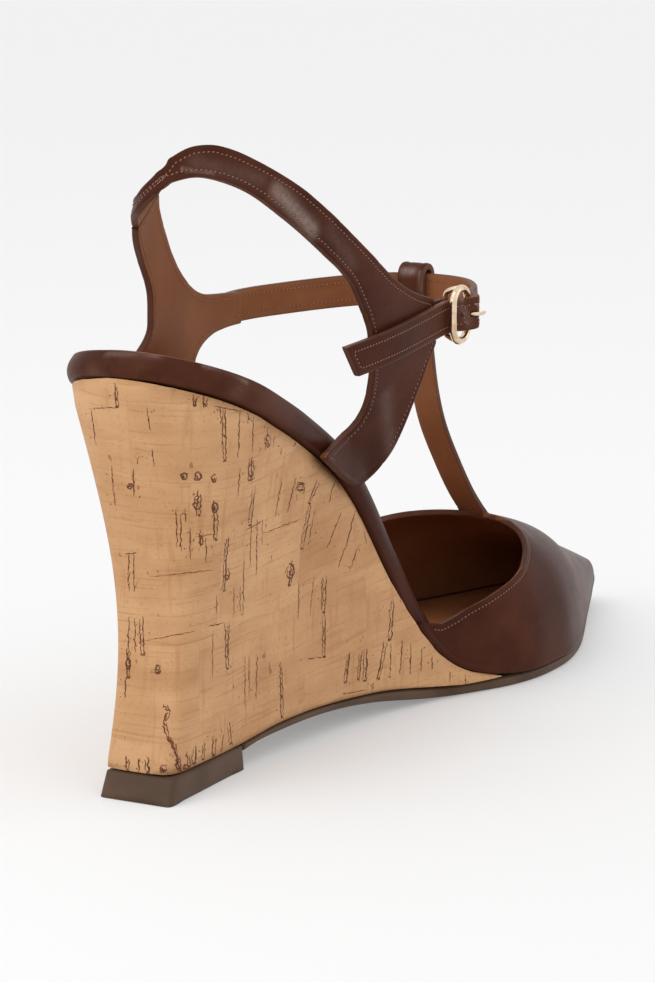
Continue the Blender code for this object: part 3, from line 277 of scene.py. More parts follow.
def make_leather(name, deep, worn, gloss, coat, grain=0.35):
    """Leather of two colours. gloss is the roughness, coat how much clear coat lies on it all, and
    the attribute painted_sheen says where highlights are painted lighter into the colour and more
    coat lies."""
    material, shader, wire, place = new_finish(name)
    cloud = wire.noise(place, 38.0, 4.0, 0.55).fade(0.32, 0.72)
    pull = wire.noise(place, 260.0, 3.0, 0.6, (0.35, 1.0, 1.0)).fade(0.45, 0.85)
    colour = (cloud * 0.75 + pull * 0.25).blend(deep, worn)
    # Painted sheen: where the attribute marks highlights, the colour is painted lighter and the
    # coat is thicker.
    sheen_and_coat = wire.node("ShaderNodeAttribute", {"attribute_name": "painted_sheen"}, {}, "Fac")
    sheen_patches = wire.noise(place, 900.0, 3.0, 0.7).fade(0.25, 0.75)
    colour = (sheen_and_coat * (sheen_patches * 0.5 + 0.5)).blend(colour, PAINTED_SHEEN_COLOUR)
    cells = wire.node("ShaderNodeTexVoronoi", {"feature": "SMOOTH_F1"},
                      {"Vector": place, "Scale": 2600.0, "Smoothness": 0.6})
    fine = wire.noise(place, 1500.0, 2.0)
    folds = wire.noise(place, 320.0, 4.0, 0.65, (1.0, 0.4, 1.0))
    relief = cells * 0.6 + fine * 0.4 + folds * 1.2
    bump = wire.node("ShaderNodeBump", {},
                     {"Strength": grain, "Distance": GRAIN_DEEP, "Height": relief})
    plug(wire, shader, Base_Color=colour, Roughness=gloss + cloud * 0.10 + pull * 0.10 - 0.06,
         Normal=bump, Coat_Weight=sheen_and_coat * 0.5 + coat)
    shader.inputs["Coat Roughness"].default_value = COAT_ROUGH
    shader.inputs["Specular IOR Level"].default_value = LEATHER_SPECULAR
    return material


calf = make_leather("calf", tint(60, 29, 19), tint(86, 47, 32), 0.34, 0.05)
lining = make_leather("lining", tint(124, 76, 48), tint(142, 93, 62), 0.55, 0.02, 0.3)
edge_dye = make_leather("edge_dye", tint(82, 52, 41), tint(112, 78, 64), 0.42, 0.04, 0.5)
sock_leather = make_leather("sock_leather", tint(140, 88, 56), tint(160, 106, 70), 0.5, 0.04, 0.3)
print("leathers:", ", ".join(finish.name for finish in (calf, lining, edge_dye, sock_leather)))

# %% [markdown]
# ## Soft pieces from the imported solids
# Leather is not a stack of flat facets. A copy of each solid has its doubles merged and its
# triangle pairs joined into four-sided faces. Its sharp rims get a crease, and a Subdivision
# Surface then rounds the rest. Faces that look at the foot are lining, faces that look away are
# calf, and the narrow ones between them are the dyed edge.

# %% Which way is out
LEG_LINE = ((0.040, 0.002, 0.170), (0.042, 0.002, 0.095), (0.100, 0.002, 0.045),
            (0.200, 0.000, 0.012))
WELD = 0.01 * MM
INSIDE, OUTSIDE, RIM = 1, 0, 2
THICKEST = 2.4 * MM
SURELY_RIM = 2.5 * THICKEST
EDGE_ON = 0.88
LOOP_FROM = 0.0885
NEVER = 9.0


def away_from_foot(point):
    """The direction from the middle of leg and foot to a point of the upper."""
    best = None
    for start, end in zip(LEG_LINE, LEG_LINE[1:]):
        near, share = intersect_point_line(point, Vector(start), Vector(end))
        near = Vector(start).lerp(Vector(end), min(1.0, max(0.0, share)))
        if best is None or (point - near).length < best.length:
            best = point - near
    return best.normalized()


def which_side(face, body, folded_above):
    """Calf, lining or edge. An edge face looks along the sheet, so the leather behind it is deep,
    and where the ray meets none at all, the face is an edge too."""
    middle = face.calc_center_median()
    facing = face.normal.dot(away_from_foot(middle))
    if middle.z > folded_above:
        facing = abs(facing)
    through = body.ray_cast(middle - face.normal * WELD, -face.normal)[3]
    deep = math.inf if through is None else through
    if deep > SURELY_RIM or (deep > THICKEST and abs(facing) < EDGE_ON):
        return RIM
    return OUTSIDE if facing > 0 else INSIDE


# %% Copy a solid as a smooth piece
PAIR_BEND = math.radians(25)
PAIR_SKEW = math.radians(50)


def bake(piece):
    """Turns what a piece's modifiers make into its plain mesh, and takes the modifiers off."""
    graph = bpy.context.evaluated_depsgraph_get()
    made = bpy.data.meshes.new_from_object(piece.evaluated_get(graph))
    piece.modifiers.clear()
    piece.data = made


def show(name, mesh):
    """Adds a piece that only the scene has. It rides on the one body of the shoe."""
    piece = bpy.data.objects.new(name, mesh)
    scene.collection.objects.link(piece)
    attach(piece, "root")


def dress(node, name, finishes, levels=2, sharp=38, crease=0.75, sides=True,
          folded_above=NEVER):
    """A smooth copy of a CAD solid. finishes are its outer, inner and edge materials, and above
    folded_above the leather is folded, so calf lies on both sides."""
    work = bmesh.new()
    work.from_mesh(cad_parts[node].data)
    bmesh.ops.remove_doubles(work, verts=work.verts, dist=WELD)
    body = BVHTree.FromBMesh(work)
    for face in work.faces:
        face.smooth = True
        face.material_index = which_side(face, body, folded_above) if sides else OUTSIDE
    bmesh.ops.join_triangles(work, faces=work.faces, angle_face_threshold=PAIR_BEND,
                             angle_shape_threshold=PAIR_SKEW, cmp_materials=True)
    hold = work.edges.layers.float.new("crease_edge")
    for edge in work.edges:
        kinds = {face.material_index for face in edge.link_faces}
        if len(kinds) > 1 or edge.calc_face_angle(0.0) > math.radians(sharp):
            edge[hold] = crease
    mesh = bpy.data.meshes.new(name)
    work.to_mesh(mesh)
    work.free()
    for finish in finishes:
        mesh.materials.append(finish)
    piece = bpy.data.objects.new(name, mesh)
    scene.collection.objects.link(piece)
    smoother = piece.modifiers.new("smoother", "SUBSURF")
    smoother.levels = smoother.render_levels = levels
    bake(piece)
    piece.data.name = name
    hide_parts(node)
    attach(piece, "root")
    print(name, len(piece.data.polygons), "faces")
    return piece


# %% The leather pieces
LEATHERS = (calf, lining, edge_dye)
vamp = dress("vamp", "vamp_leather", LEATHERS, 3, folded_above=LOOP_FROM)
outer_quarter = dress("lateral_quarter", "outer_quarter_leather", LEATHERS, 3)
inner_quarter = dress("medial_quarter", "inner_quarter_leather", LEATHERS, 3)
ankle_strap = dress("ankle_strap", "ankle_strap_leather", LEATHERS, 3)
dress("buckle_tab", "tab_leather", (calf,), sides=False)
rim_wrap = dress("footbed", "rim_wrap_leather", (calf,), sides=False)
dress("sock_lining", "sock_leather", (sock_leather,), sides=False)

# %% [markdown]
# ## Turned edges and creases
# The edge of each strap is turned in and stitched down. That leaves a small roll at the edge and a
# shallow groove where the thread pulls. Where the strap bends over the buckle it creases. Both
# are made by moving points of the fine mesh a tenth to four tenths of a millimetre along their
# normals.

# %% Roll at the edge, groove at the thread
INSET = 1.55 * MM
ROLL = 0.10 * MM
GROOVE = 0.09 * MM
ROLL_SHARE = 0.8
GROOVE_SHARE = 0.28
FADE_OUT = 3.0


def edge_distance(mesh, side):
    """For each point of one side of a sheet, its distance to the sheet's edge."""
    mine, others = set(), set()
    for face in mesh.polygons:
        (mine if face.material_index == side else others).update(face.vertices)
    border = mine & others
    tree = KDTree(len(border))
    for index in border:
        tree.insert(mesh.vertices[index].co, index)
    tree.balance()
    return {index: tree.find(mesh.vertices[index].co)[2] for index in mine}


def turn_edges(piece):
    """Raises a roll along the edge of the calf and sinks a groove under the stitch row."""
    mesh = piece.data
    normals = [vertex.normal.copy() for vertex in mesh.vertices]
    for index, far in edge_distance(mesh, OUTSIDE).items():
        if far > FADE_OUT * INSET:
            continue
        roll = ROLL * math.sin(math.pi * min(far / (ROLL_SHARE * INSET), 1.0))
        groove = GROOVE * math.exp(-((far - INSET) / (GROOVE_SHARE * INSET)) ** 2)
        mesh.vertices[index].co += normals[index] * (roll - groove)


for piece in (vamp, outer_quarter, inner_quarter, ankle_strap):
    turn_edges(piece)

# %% Creases, by their ends in the picture
CREASES = (
    # across, down, across, down, depth, width
    (452, 292, 463, 286, 0.35, 0.55), (452, 300, 464, 293, 0.40, 0.55),
    (455, 309, 468, 303, 0.20, 0.6), (458, 330, 470, 322, 0.25, 0.6),
)


def near_lines(piece, rows):
    """The points of a piece near lines of the picture: index, amount and how near, 0 to 1."""
    mesh = piece.data
    skin = BVHTree.FromObject(piece, bpy.context.evaluated_depsgraph_get())
    found = []
    for x0, y0, x1, y1, amount, width in rows:
        start, end = (skin.ray_cast(CAMERA_SPOT, sight(*spot))[0] for spot in ((x0, y0), (x1, y1)))
        if start is None or end is None:
            continue
        reach = (end - start).length + FADE_OUT * width * MM
        for vertex in mesh.vertices:
            if (vertex.co - start).length > reach:
                continue
            near, share = intersect_point_line(vertex.co, start, end)
            near = start.lerp(end, min(1.0, max(0.0, share)))
            far = (vertex.co - near).length / (width * MM)
            if far < FADE_OUT:
                found.append((vertex.index, amount, math.exp(-far * far)))
    return found


def crease(piece, rows):
    """Presses a soft valley along each line between two spots of the picture."""
    normals = [vertex.normal.copy() for vertex in piece.data.vertices]
    for index, depth, share in near_lines(piece, rows):
        piece.data.vertices[index].co -= normals[index] * depth * MM * share


crease(ankle_strap, CREASES)
print("edges turned and", len(CREASES), "creases pressed")

# %% Painted sheen: highlights painted lighter along lines in the picture, with more coat there
PAINTED_SHEEN_LINES = (
    # across, down, across, down, strength, width
    (277, 191, 312, 229, 0.65, 1.9), (196, 162, 262, 180, 0.14, 1.8),
    (330, 232, 352, 262, 0.10, 2.0), (182, 169, 214, 174, 0.55, 0.35),
    (386, 396, 392, 450, 0.16, 2.2), (586, 566, 584, 640, 0.45, 7.0),
    (108, 354, 158, 356, 0.30, 0.7), (205, 366, 246, 382, 0.35, 0.6),
    (330, 424, 352, 450, 0.15, 1.5), (92, 372, 240, 392, 0.10, 2.0),
    (404, 271, 412, 271, 0.60, 1.1), (420, 272, 421, 290, 0.35, 0.5),
    (456, 296, 463, 292, 0.80, 0.35), (456, 303, 463, 299, 0.60, 0.3),
    (462, 308, 468, 322, 0.25, 1.2),
)


def painted_sheen(piece):
    """Marks how much painted sheen, with its extra coat, each point of a piece gets."""
    sheen_marks = [0.0] * len(piece.data.vertices)
    for index, strength, share in near_lines(piece, PAINTED_SHEEN_LINES):
        sheen_marks[index] = max(sheen_marks[index], strength * share)
    piece.data.attributes.new("painted_sheen", "FLOAT", "POINT").data.foreach_set("value", sheen_marks)
    print(piece.name, sum(mark > 0.05 for mark in sheen_marks), "points with painted sheen")


for piece in (vamp, outer_quarter, inner_quarter, ankle_strap, rim_wrap):
    painted_sheen(piece)

# %% [markdown]
# ## The sole
# The lift and the outsole are moulded brown rubber, satin with a fine dusty grain.


# %% Rubber finish and the sole's pieces
DUST_DEEP = 0.1 * MM
RUBBER_SPECULAR = 0.12


def make_rubber(name, deep, worn):
    """Satin rubber of two close colours, under fine dust."""
    material, shader, wire, place = new_finish(name)
    cloud = wire.noise(place, 60.0, 4.0).fade(0.3, 0.7)
    dust = wire.noise(place, 2400.0, 2.0)
    bump = wire.node("ShaderNodeBump", {},
                     {"Strength": 0.25, "Distance": DUST_DEEP, "Height": dust})
    plug(wire, shader, Base_Color=cloud.blend(deep, worn), Roughness=cloud * 0.12 + 0.42,
         Normal=bump)
    shader.inputs["Specular IOR Level"].default_value = RUBBER_SPECULAR
    return material


rubber = make_rubber("rubber", tint(76, 58, 45), tint(94, 74, 60))
dress("outsole", "outsole_rubber", (rubber,), sides=False)
dress("top_lift", "lift_rubber", (rubber,), crease=0.9, sides=False)

# %% [markdown]
# ## Cork
# The wedge is covered with cork veneer: slabs a few centimetres long, cut across the bark, each
# with its own shade, fine level growth lines and short upright cracks.

# %% Wrap measure: how far round the wedge, and how high
WRAP_CENTRE = 0.008
WRAP_RADIUS = 0.020
GROWTH_RISE = 0.06
SLAB_TALL = 0.0185
SLAB_LONG = 0.038
CORK_SPECULAR = 0.2
PORE_DEEP = 0.25 * MM


def wrap_spot(point):
    """Distance round the wedge from the middle of its back, and height, both in metres."""
    ahead = point.x - WRAP_CENTRE
    if ahead < 0:
        round_it = WRAP_RADIUS * math.atan2(point.y, -ahead)
    else:
        round_it = math.copysign(WRAP_RADIUS * math.pi / 2 + ahead, point.y)
    return round_it, point.z - GROWTH_RISE * max(0.0, ahead)


def make_cork(name):
    """Cork veneer. across and up are metres on the wrap map, own is one shade for each slab."""
    material, shader, wire, place = new_finish(name)
    wrap = wire.node("ShaderNodeUVMap", {"uv_map": "wrap"})
    across = wrap.node("ShaderNodeSeparateXYZ", {}, {"Vector": wrap})
    up = Wire(wire.tree, across.socket.node.outputs[1])
    wobble = wire.noise(place, 26.0, 3.0)
    level = (up + wobble * 0.006) / SLAB_TALL
    row = level.sum("FLOOR", level)
    row_hash = wire.node("ShaderNodeTexWhiteNoise", {"noise_dimensions": "1D"}, {"W": row})
    slab = across / SLAB_LONG + row_hash * 3.0
    column = slab.sum("FLOOR", slab)
    own = wire.node("ShaderNodeTexWhiteNoise", {"noise_dimensions": "1D"},
                    {"W": column * 7.0 + row * 31.0})
    level_part = level.sum("FRACT", level)
    slab_part = slab.sum("FRACT", slab)
    seam = level.sum("MINIMUM", level_part.fade(0.0, 0.03), slab_part.fade(0.0, 0.014))
    spot = wire.node("ShaderNodeCombineXYZ", {},
                     {"X": across * 60.0 + own * 40.0, "Y": (up + wobble * 0.005) * 1700.0,
                      "Z": own * 20.0})
    lines = wire.node("ShaderNodeTexNoise", {}, {"Vector": spot, "Scale": 1.0, "Detail": 3.0})
    broad = wire.node("ShaderNodeCombineXYZ", {},
                      {"X": across * 22.0 + own * 10.0, "Y": (up + wobble * 0.006) * 150.0,
                       "Z": own * 9.0})
    bands = wire.node("ShaderNodeTexNoise", {}, {"Vector": broad, "Scale": 1.0, "Detail": 2.0})
    stroke = wire.node("ShaderNodeCombineXYZ", {},
                       {"X": across * 520.0, "Y": up * 55.0, "Z": own * 5.0})
    upright = wire.node("ShaderNodeTexNoise", {}, {"Vector": stroke, "Scale": 1.0, "Detail": 3.0})
    grit = wire.noise(place, 1300.0, 3.0, 0.6)
    fleck = wire.noise(place, 520.0, 2.0, 0.5, (1.0, 1.0, 0.6))
    cloud = wire.noise(place, 70.0, 3.0)
    shade = own * 0.30 + bands.fade(0.3, 0.75) * 0.40 + cloud.fade(0.35, 0.7) * 0.30
    base = shade.blend(tint(206, 162, 118), tint(174, 126, 84))
    lined = (lines.fade(0.54, 0.70) * 0.36).blend(base, tint(156, 106, 66))
    stroked = (upright.fade(0.56, 0.72) * 0.36).blend(lined, tint(162, 114, 72))
    gritty = (grit.fade(0.54, 0.74) * 0.34).blend(stroked, tint(146, 98, 60))
    flecked = (fleck.fade(0.70, 0.75) * 0.6).blend(gritty, tint(120, 74, 42))
    joined = ((1.0 - seam) * 0.16).blend(flecked, tint(150, 98, 58))
    relief = lines * 0.6 + grit * 0.6 + seam * 0.5
    bump = wire.node("ShaderNodeBump", {},
                     {"Strength": 0.35, "Distance": PORE_DEEP, "Height": relief})
    plug(wire, shader, Base_Color=joined, Roughness=grit * 0.15 + 0.55, Normal=bump)
    shader.inputs["Specular IOR Level"].default_value = CORK_SPECULAR
    return material


cork = make_cork("cork")
wedge = dress("wedge", "cork_wedge", (cork,), crease=0.85, sides=False)
wrap_layer = wedge.data.uv_layers.new(name="wrap")
for loop in wedge.data.loops:
    wrap_layer.data[loop.index].uv = wrap_spot(wedge.data.vertices[loop.vertex_index].co)
print("wrap map:", len(wedge.data.loops), "corners")

# %% [markdown]
# ## Cracks and knots in the cork
# Each crack is a thin dark ribbon that lies on the cork. A strong crack gets a thinner twin and a
# link between the two, and specks lie beside each one. A knot is two ragged rings round a short
# stroke. The ones that the picture shows are placed by their spots in it: a ray from the camera
# finds the cork behind the spot.

# %% Cracks by their spots in the picture
CRACKS = (
    # across, down, across, down, weight
    (115, 383, 116, 408, 1.1), (91, 409, 96, 446, 0.8), (147, 408, 150, 430, 0.8),
    (112, 466, 113, 492, 0.8), (133, 468, 134, 496, 1.0), (152, 449, 154, 467, 0.6),
    (139, 456, 137, 464, 0.6), (114, 492, 115, 506, 0.7), (176, 508, 177, 548, 0.8),
    (181, 514, 181, 552, 0.7), (185, 508, 186, 522, 0.6), (198, 491, 197, 516, 1.3),
    (200, 530, 200, 546, 1.5), (190, 528, 190, 560, 0.7), (206, 538, 206, 563, 0.7),
    (214, 500, 214, 541, 1.3), (229, 536, 226, 562, 1.5), (226, 560, 225, 592, 1.6),
    (220, 406, 221, 424, 0.8), (225, 407, 226, 462, 1.2), (240, 410, 238, 458, 1.0),
    (248, 410, 248, 424, 0.8), (254, 412, 252, 452, 0.9), (268, 427, 265, 450, 1.0),
    (252, 456, 251, 482, 1.2), (240, 468, 238, 496, 0.8), (255, 486, 251, 526, 1.2),
    (282, 479, 275, 517, 0.9), (296, 477, 287, 513, 1.0), (317, 480, 308, 504, 1.1),
    (311, 503, 303, 550, 1.4), (316, 503, 308, 546, 0.7), (335, 480, 329, 503, 0.8),
    (341, 513, 327, 548, 1.0), (356, 508, 346, 546, 1.0), (359, 545, 350, 569, 0.9),
    (346, 545, 338, 568, 0.8), (365, 531, 366, 543, 0.8), (292, 561, 288, 587, 1.6),
    (299, 582, 298, 620, 0.8), (314, 577, 310, 616, 0.8), (326, 575, 325, 613, 1.2),
    (322, 577, 321, 610, 0.6), (325, 612, 325, 658, 1.2), (244, 560, 243, 615, 0.8),
    (251, 519, 250, 566, 0.8), (257, 519, 256, 577, 0.9), (262, 520, 262, 545, 0.6),
    (234, 587, 234, 617, 0.7), (240, 585, 240, 612, 0.6), (217, 595, 216, 614, 0.9),
    (213, 630, 212, 678, 0.8), (225, 622, 226, 670, 1.2), (229, 622, 228, 666, 0.8),
    (245, 655, 245, 709, 0.8), (249, 655, 249, 695, 0.7), (257, 654, 256, 701, 0.8),
    (280, 662, 281, 718, 1.3), (129, 553, 129, 591, 0.8), (134, 553, 134, 592, 0.9),
    (129, 617, 128, 656, 0.8), (135, 618, 135, 652, 0.7), (143, 617, 144, 656, 1.1),
    (127, 648, 127, 679, 1.2), (126, 677, 125, 698, 0.8), (126, 756, 126, 771, 1.2),
    (139, 758, 139, 772, 1.0), (148, 757, 149, 774, 1.5), (196, 746, 195, 765, 1.5),
    (205, 742, 204, 760, 1.1), (213, 735, 212, 757, 1.1), (223, 735, 222, 751, 0.9),
    (229, 722, 232, 745, 1.2), (187, 752, 188, 768, 1.1), (180, 757, 181, 772, 1.2),
    (350, 651, 346, 684, 1.7), (362, 650, 359, 681, 1.2), (367, 648, 366, 682, 1.6),
    (384, 641, 377, 680, 1.5), (394, 601, 391, 641, 1.3), (391, 643, 390, 678, 0.9),
    (402, 640, 400, 674, 1.0), (411, 644, 410, 674, 0.9), (422, 648, 421, 672, 0.8),
    (432, 656, 432, 670, 1.0), (373, 682, 372, 694, 1.0), (450, 672, 450, 682, 0.8),
    (465, 674, 465, 684, 0.7), (193, 395, 194, 407, 1.2), (204, 396, 204, 407, 1.2),
    (274, 436, 273, 447, 0.6), (298, 432, 294, 446, 0.8), (150, 577, 212, 570, 0.45),
    (144, 641, 196, 631, 0.45), (195, 537, 216, 534, 0.5), (262, 534, 300, 519, 0.5),
    (209, 626, 224, 623, 0.7), (308, 659, 324, 657, 0.7), (60, 409, 72, 408, 0.4),
    (214, 406, 240, 411, 0.6), (343, 694, 366, 690, 0.6), (246, 530, 262, 521, 0.6),
    (92, 408, 118, 408, 0.5), (125, 554, 136, 553, 0.7),
)
KNOTS = (
    # across, down, half width, half height
    (198, 476, 5.0, 6.5), (300, 488, 5.0, 6.0), (158, 669, 3.5, 5.5), (252, 470, 3.0, 9.0),
    (214, 478, 2.5, 4.0), (184, 476, 4.0, 3.5), (197, 503, 3.5, 7.0), (268, 440, 3.0, 8.0),
    (227, 574, 3.0, 9.0), (164, 769, 4.0, 4.0), (215, 508, 3.0, 6.0), (130, 486, 3.0, 3.5),
    (290, 571, 3.5, 8.0), (128, 664, 3.0, 9.0), (186, 768, 3.0, 4.0),
)
LONG_CRACK = ((164, 705), (168, 712), (163, 722), (167, 736), (172, 744), (176, 755), (176, 766),
              (181, 772))
rng = random.Random(7)
shell = BVHTree.FromObject(wedge, bpy.context.evaluated_depsgraph_get())
CRACK_LIFT = 0.05 * MM
CRACK_WIDE, TWIN_WIDE, LINK_WIDE, SPECK_WIDE = 0.52 * MM, 0.42 * MM, 0.75 * MM, 0.30 * MM
KNOT_WIDE, CORE_WIDE = 0.5 * MM, 0.6 * MM
LONG_WIDE, LONG_TWIN_WIDE = 0.85 * MM, 0.35 * MM
STRONG = 1.05
KNOT_STEPS = 12


def ribbon(work, course, width):
    """A ragged ribbon through points on the cork. course holds points with their normals."""
    rows = []
    for order, (spot, normal) in enumerate(course):
        ahead = course[min(order + 1, len(course) - 1)][0] - course[max(order - 1, 0)][0]
        aside = ahead.cross(normal).normalized()
        taper = math.sin(math.pi * (order + 0.6) / (len(course) + 0.2)) ** 0.5
        half = width * taper * rng.uniform(0.25, 1.0) / 2
        spot = spot + normal * CRACK_LIFT + aside * rng.uniform(-0.3, 0.3) * width
        rows.append((work.verts.new(spot - aside * half), work.verts.new(spot + aside * half)))
    for (a, b), (c, d) in zip(rows, rows[1:]):
        work.faces.new((a, b, d, c))


def cork_at(across, down):
    """The point of the cork behind a spot of the picture, with its normal."""
    spot, normal, _, _ = shell.ray_cast(CAMERA_SPOT, sight(across, down))
    return spot, normal


def draw(work, spots, width):
    """A ragged crack through spots of the picture, left out where there is no cork."""
    course = [pair for pair in (cork_at(across, down) for across, down in spots) if pair[0]]
    if len(course) > 2:
        ribbon(work, course, width)


def ragged(x0, y0, x1, y1, step=2.0, shake=0.5):
    """Spots along a line of the picture, each a little off it."""
    steps = max(3, int(math.hypot(x1 - x0, y1 - y0) / step))
    return [(x0 + (x1 - x0) * i / steps + rng.uniform(-shake, shake),
             y0 + (y1 - y0) * i / steps + rng.uniform(-shake, shake)) for i in range(steps + 1)]


cracks = bmesh.new()
for x0, y0, x1, y1, weight in CRACKS:
    draw(cracks, ragged(x0, y0, x1, y1), CRACK_WIDE * weight)
    if weight > STRONG:
        side = rng.choice((-1, 1)) * rng.uniform(2.0, 3.2)
        draw(cracks, ragged(x0 + side, y0 + 3, x1 + side, y1 - 2, 1.6, 0.8), TWIN_WIDE)
        draw(cracks, ragged(x1, y1 - 2, x1 + side, y1 - 1, 0.8), LINK_WIDE)
    for _ in range(2):
        x, y = x0 + rng.uniform(-7, 7), rng.uniform(min(y0, y1), max(y0, y1))
        end_x, end_y = x + rng.uniform(-1.5, 1.5), y + rng.uniform(-1.5, 2.5)
        draw(cracks, ragged(x, y, end_x, end_y, 0.6, 0.3), SPECK_WIDE)
for across, down, wide, tall in KNOTS:
    for _ in range(2):
        size = rng.uniform(0.55, 1.0)
        begin, sweep = rng.uniform(0, math.tau), rng.uniform(3.6, 5.8)
        angles = [begin + sweep * i / KNOT_STEPS for i in range(KNOT_STEPS + 1)]
        draw(cracks, [(across + wide * size * math.cos(angle) + rng.uniform(-1.1, 1.1),
                       down + tall * size * math.sin(angle)) for angle in angles], KNOT_WIDE)
    core = ragged(across - wide / 2, down, across + wide / 2, down + tall / 2, 1.0, 1.0)
    draw(cracks, core, CORE_WIDE)
for (x0, y0), (x1, y1) in zip(LONG_CRACK, LONG_CRACK[1:]):
    draw(cracks, ragged(x0, y0, x1, y1, 1.5, 1.0), LONG_WIDE)
    draw(cracks, ragged(x0 + 3, y0, x1 + 2, y1, 1.8, 0.8), LONG_TWIN_WIDE)
print("cracks from the picture:", len(cracks.faces), "faces")

# %% Cracks on the sides that the picture doesn't show
UNSEEN_BEDS = 26
BEDS_ALONG, BEDS_UP = (-0.01, 0.115), (0.008, 0.075)
FAR_OUT = 0.2
SIDEWAYS = 0.4
BED_STEPS = 5
for _ in range(UNSEEN_BEDS):
    ahead = rng.uniform(*BEDS_ALONG)
    high = rng.uniform(*BEDS_UP)
    for stroke in range(rng.randint(2, 5)):
        course = []
        x = ahead + stroke * rng.uniform(1.6, 3.2) * MM
        tall = rng.uniform(4, 9) * MM
        for i in range(BED_STEPS + 1):
            shake = rng.uniform(-0.15, 0.15) * MM
            start = Vector((x + shake, FAR_OUT, high - tall * i / BED_STEPS))
            spot, normal, _, _ = shell.ray_cast(start, Vector((0, -1, 0)))
            if spot and normal.y > SIDEWAYS:
                course.append((spot, normal))
        if len(course) > 3:
            ribbon(cracks, course, rng.uniform(0.2, 0.45) * MM)
crack_mesh = bpy.data.meshes.new("cork_cracks")
print("with the unseen sides:", len(cracks.faces), "faces")
cracks.to_mesh(crack_mesh)
cracks.free()


# %% A plain finish, for cracks, thread and the painted shade of needle pits and holes
def make_plain(name, colour, rough, mottle=0.3):
    """One colour with a slight mottle, for cracks, thread and the painted shade of pits and holes.
    """
    material, shader, wire, place = new_finish(name)
    cloud = wire.noise(place, 900.0, 2.0).fade(0.35, 0.7)
    lighter = tuple(min(1.0, c * (1 + mottle)) for c in colour[:3]) + (1.0,)
    plug(wire, shader, Base_Color=cloud.blend(colour, lighter), Roughness=cloud * 0.1 + rough)
    return material


crack_mesh.materials.append(make_plain("crack", tint(80, 42, 22), 0.8, mottle=1.2))
show("cork_cracks", crack_mesh)

# %% [markdown]
# ## The buckle
# Frame, bar and prong are pale gold wire. The copies are smoothed, and the metal has a slight
# unevenness in its gloss from handling.


# %% Pale gold finish and the buckle's pieces
GOLD_SHARP = 60


def make_gold(name, colour, worn):
    """Polished metal with a slightly uneven gloss."""
    material, shader, wire, place = new_finish(name)
    cloud = wire.noise(place, 500.0, 3.0).fade(0.3, 0.75)
    fine = wire.noise(place, 3000.0, 2.0)
    bump = wire.node("ShaderNodeBump", {},
                     {"Strength": 0.05, "Distance": DUST_DEEP, "Height": fine})
    plug(wire, shader, Base_Color=cloud.blend(colour, worn), Roughness=cloud * 0.10 + 0.14,
         Metallic=1.0, Normal=bump)
    return material


gold = make_gold("pale_gold", tint(236, 214, 184), tint(206, 178, 146))
dress("buckle_frame", "buckle_gold", (gold,), sides=False, sharp=GOLD_SHARP)
dress("buckle_prong", "prong_gold", (gold,), sides=False, sharp=GOLD_SHARP)

# %% [markdown]
# ## Stitch rows
# A row of lock stitch runs about a millimetre and a half inside every edge of the leather. The
# edge of a piece is where its calf faces meet its edge faces, so the row is the line on the surface
# that keeps this distance to that edge. Geometry Nodes then lay one small stitch after another on
# it, each over a slightly larger dark ball, painted shade that stands for its needle pit.


# %% The line at a fixed distance from the edge
def edge_row(piece, side, inset, keep):
    """Points and links of the line at a distance from the edge of one side of a piece."""
    mesh = piece.data
    far = {index: reach - inset for index, reach in edge_distance(mesh, side).items()}
    spots, ups, links, known = [], [], [], {}

    def crossing(a, b):
        """The point where the row crosses the edge from a to b, made once for both its faces."""
        key = (min(a, b), max(a, b))
        if key not in known:
            share = far[a] / (far[a] - far[b])
            one, two = mesh.vertices[a], mesh.vertices[b]
            known[key] = len(spots)
            spots.append(one.co.lerp(two.co, share))
            ups.append(one.normal.lerp(two.normal, share).normalized())
        return known[key]

    for face in mesh.polygons:
        if face.material_index != side:
            continue
        first, *others = face.vertices
        for a, b, c in ((first, *pair) for pair in zip(others, others[1:])):
            ends = [crossing(p, q) for p, q in ((a, b), (b, c), (c, a))
                    if (far[p] < 0) != (far[q] < 0)]
            if len(ends) == 2 and ends[0] != ends[1]:
                if keep((spots[ends[0]] + spots[ends[1]]) / 2):
                    links.append(ends)
    return spots, ups, links


# %% The stitch tree
PITCH = 1.15 * MM
THREAD = (("Pitch", PITCH), ("Long", 0.78 * MM), ("Wide", 0.34 * MM), ("Tall", 0.36 * MM),
          ("Slant", 0.20))
# Dark balls of painted shade, a little longer and wider than the thread, stand for the needle pits.
NEEDLE_PIT_SHADE = (("Pitch", PITCH), ("Long", 1.08 * MM), ("Wide", 0.38 * MM), ("Tall", 0.16 * MM),
              ("Slant", 0.0))
AROUND, RINGS = 6, 4


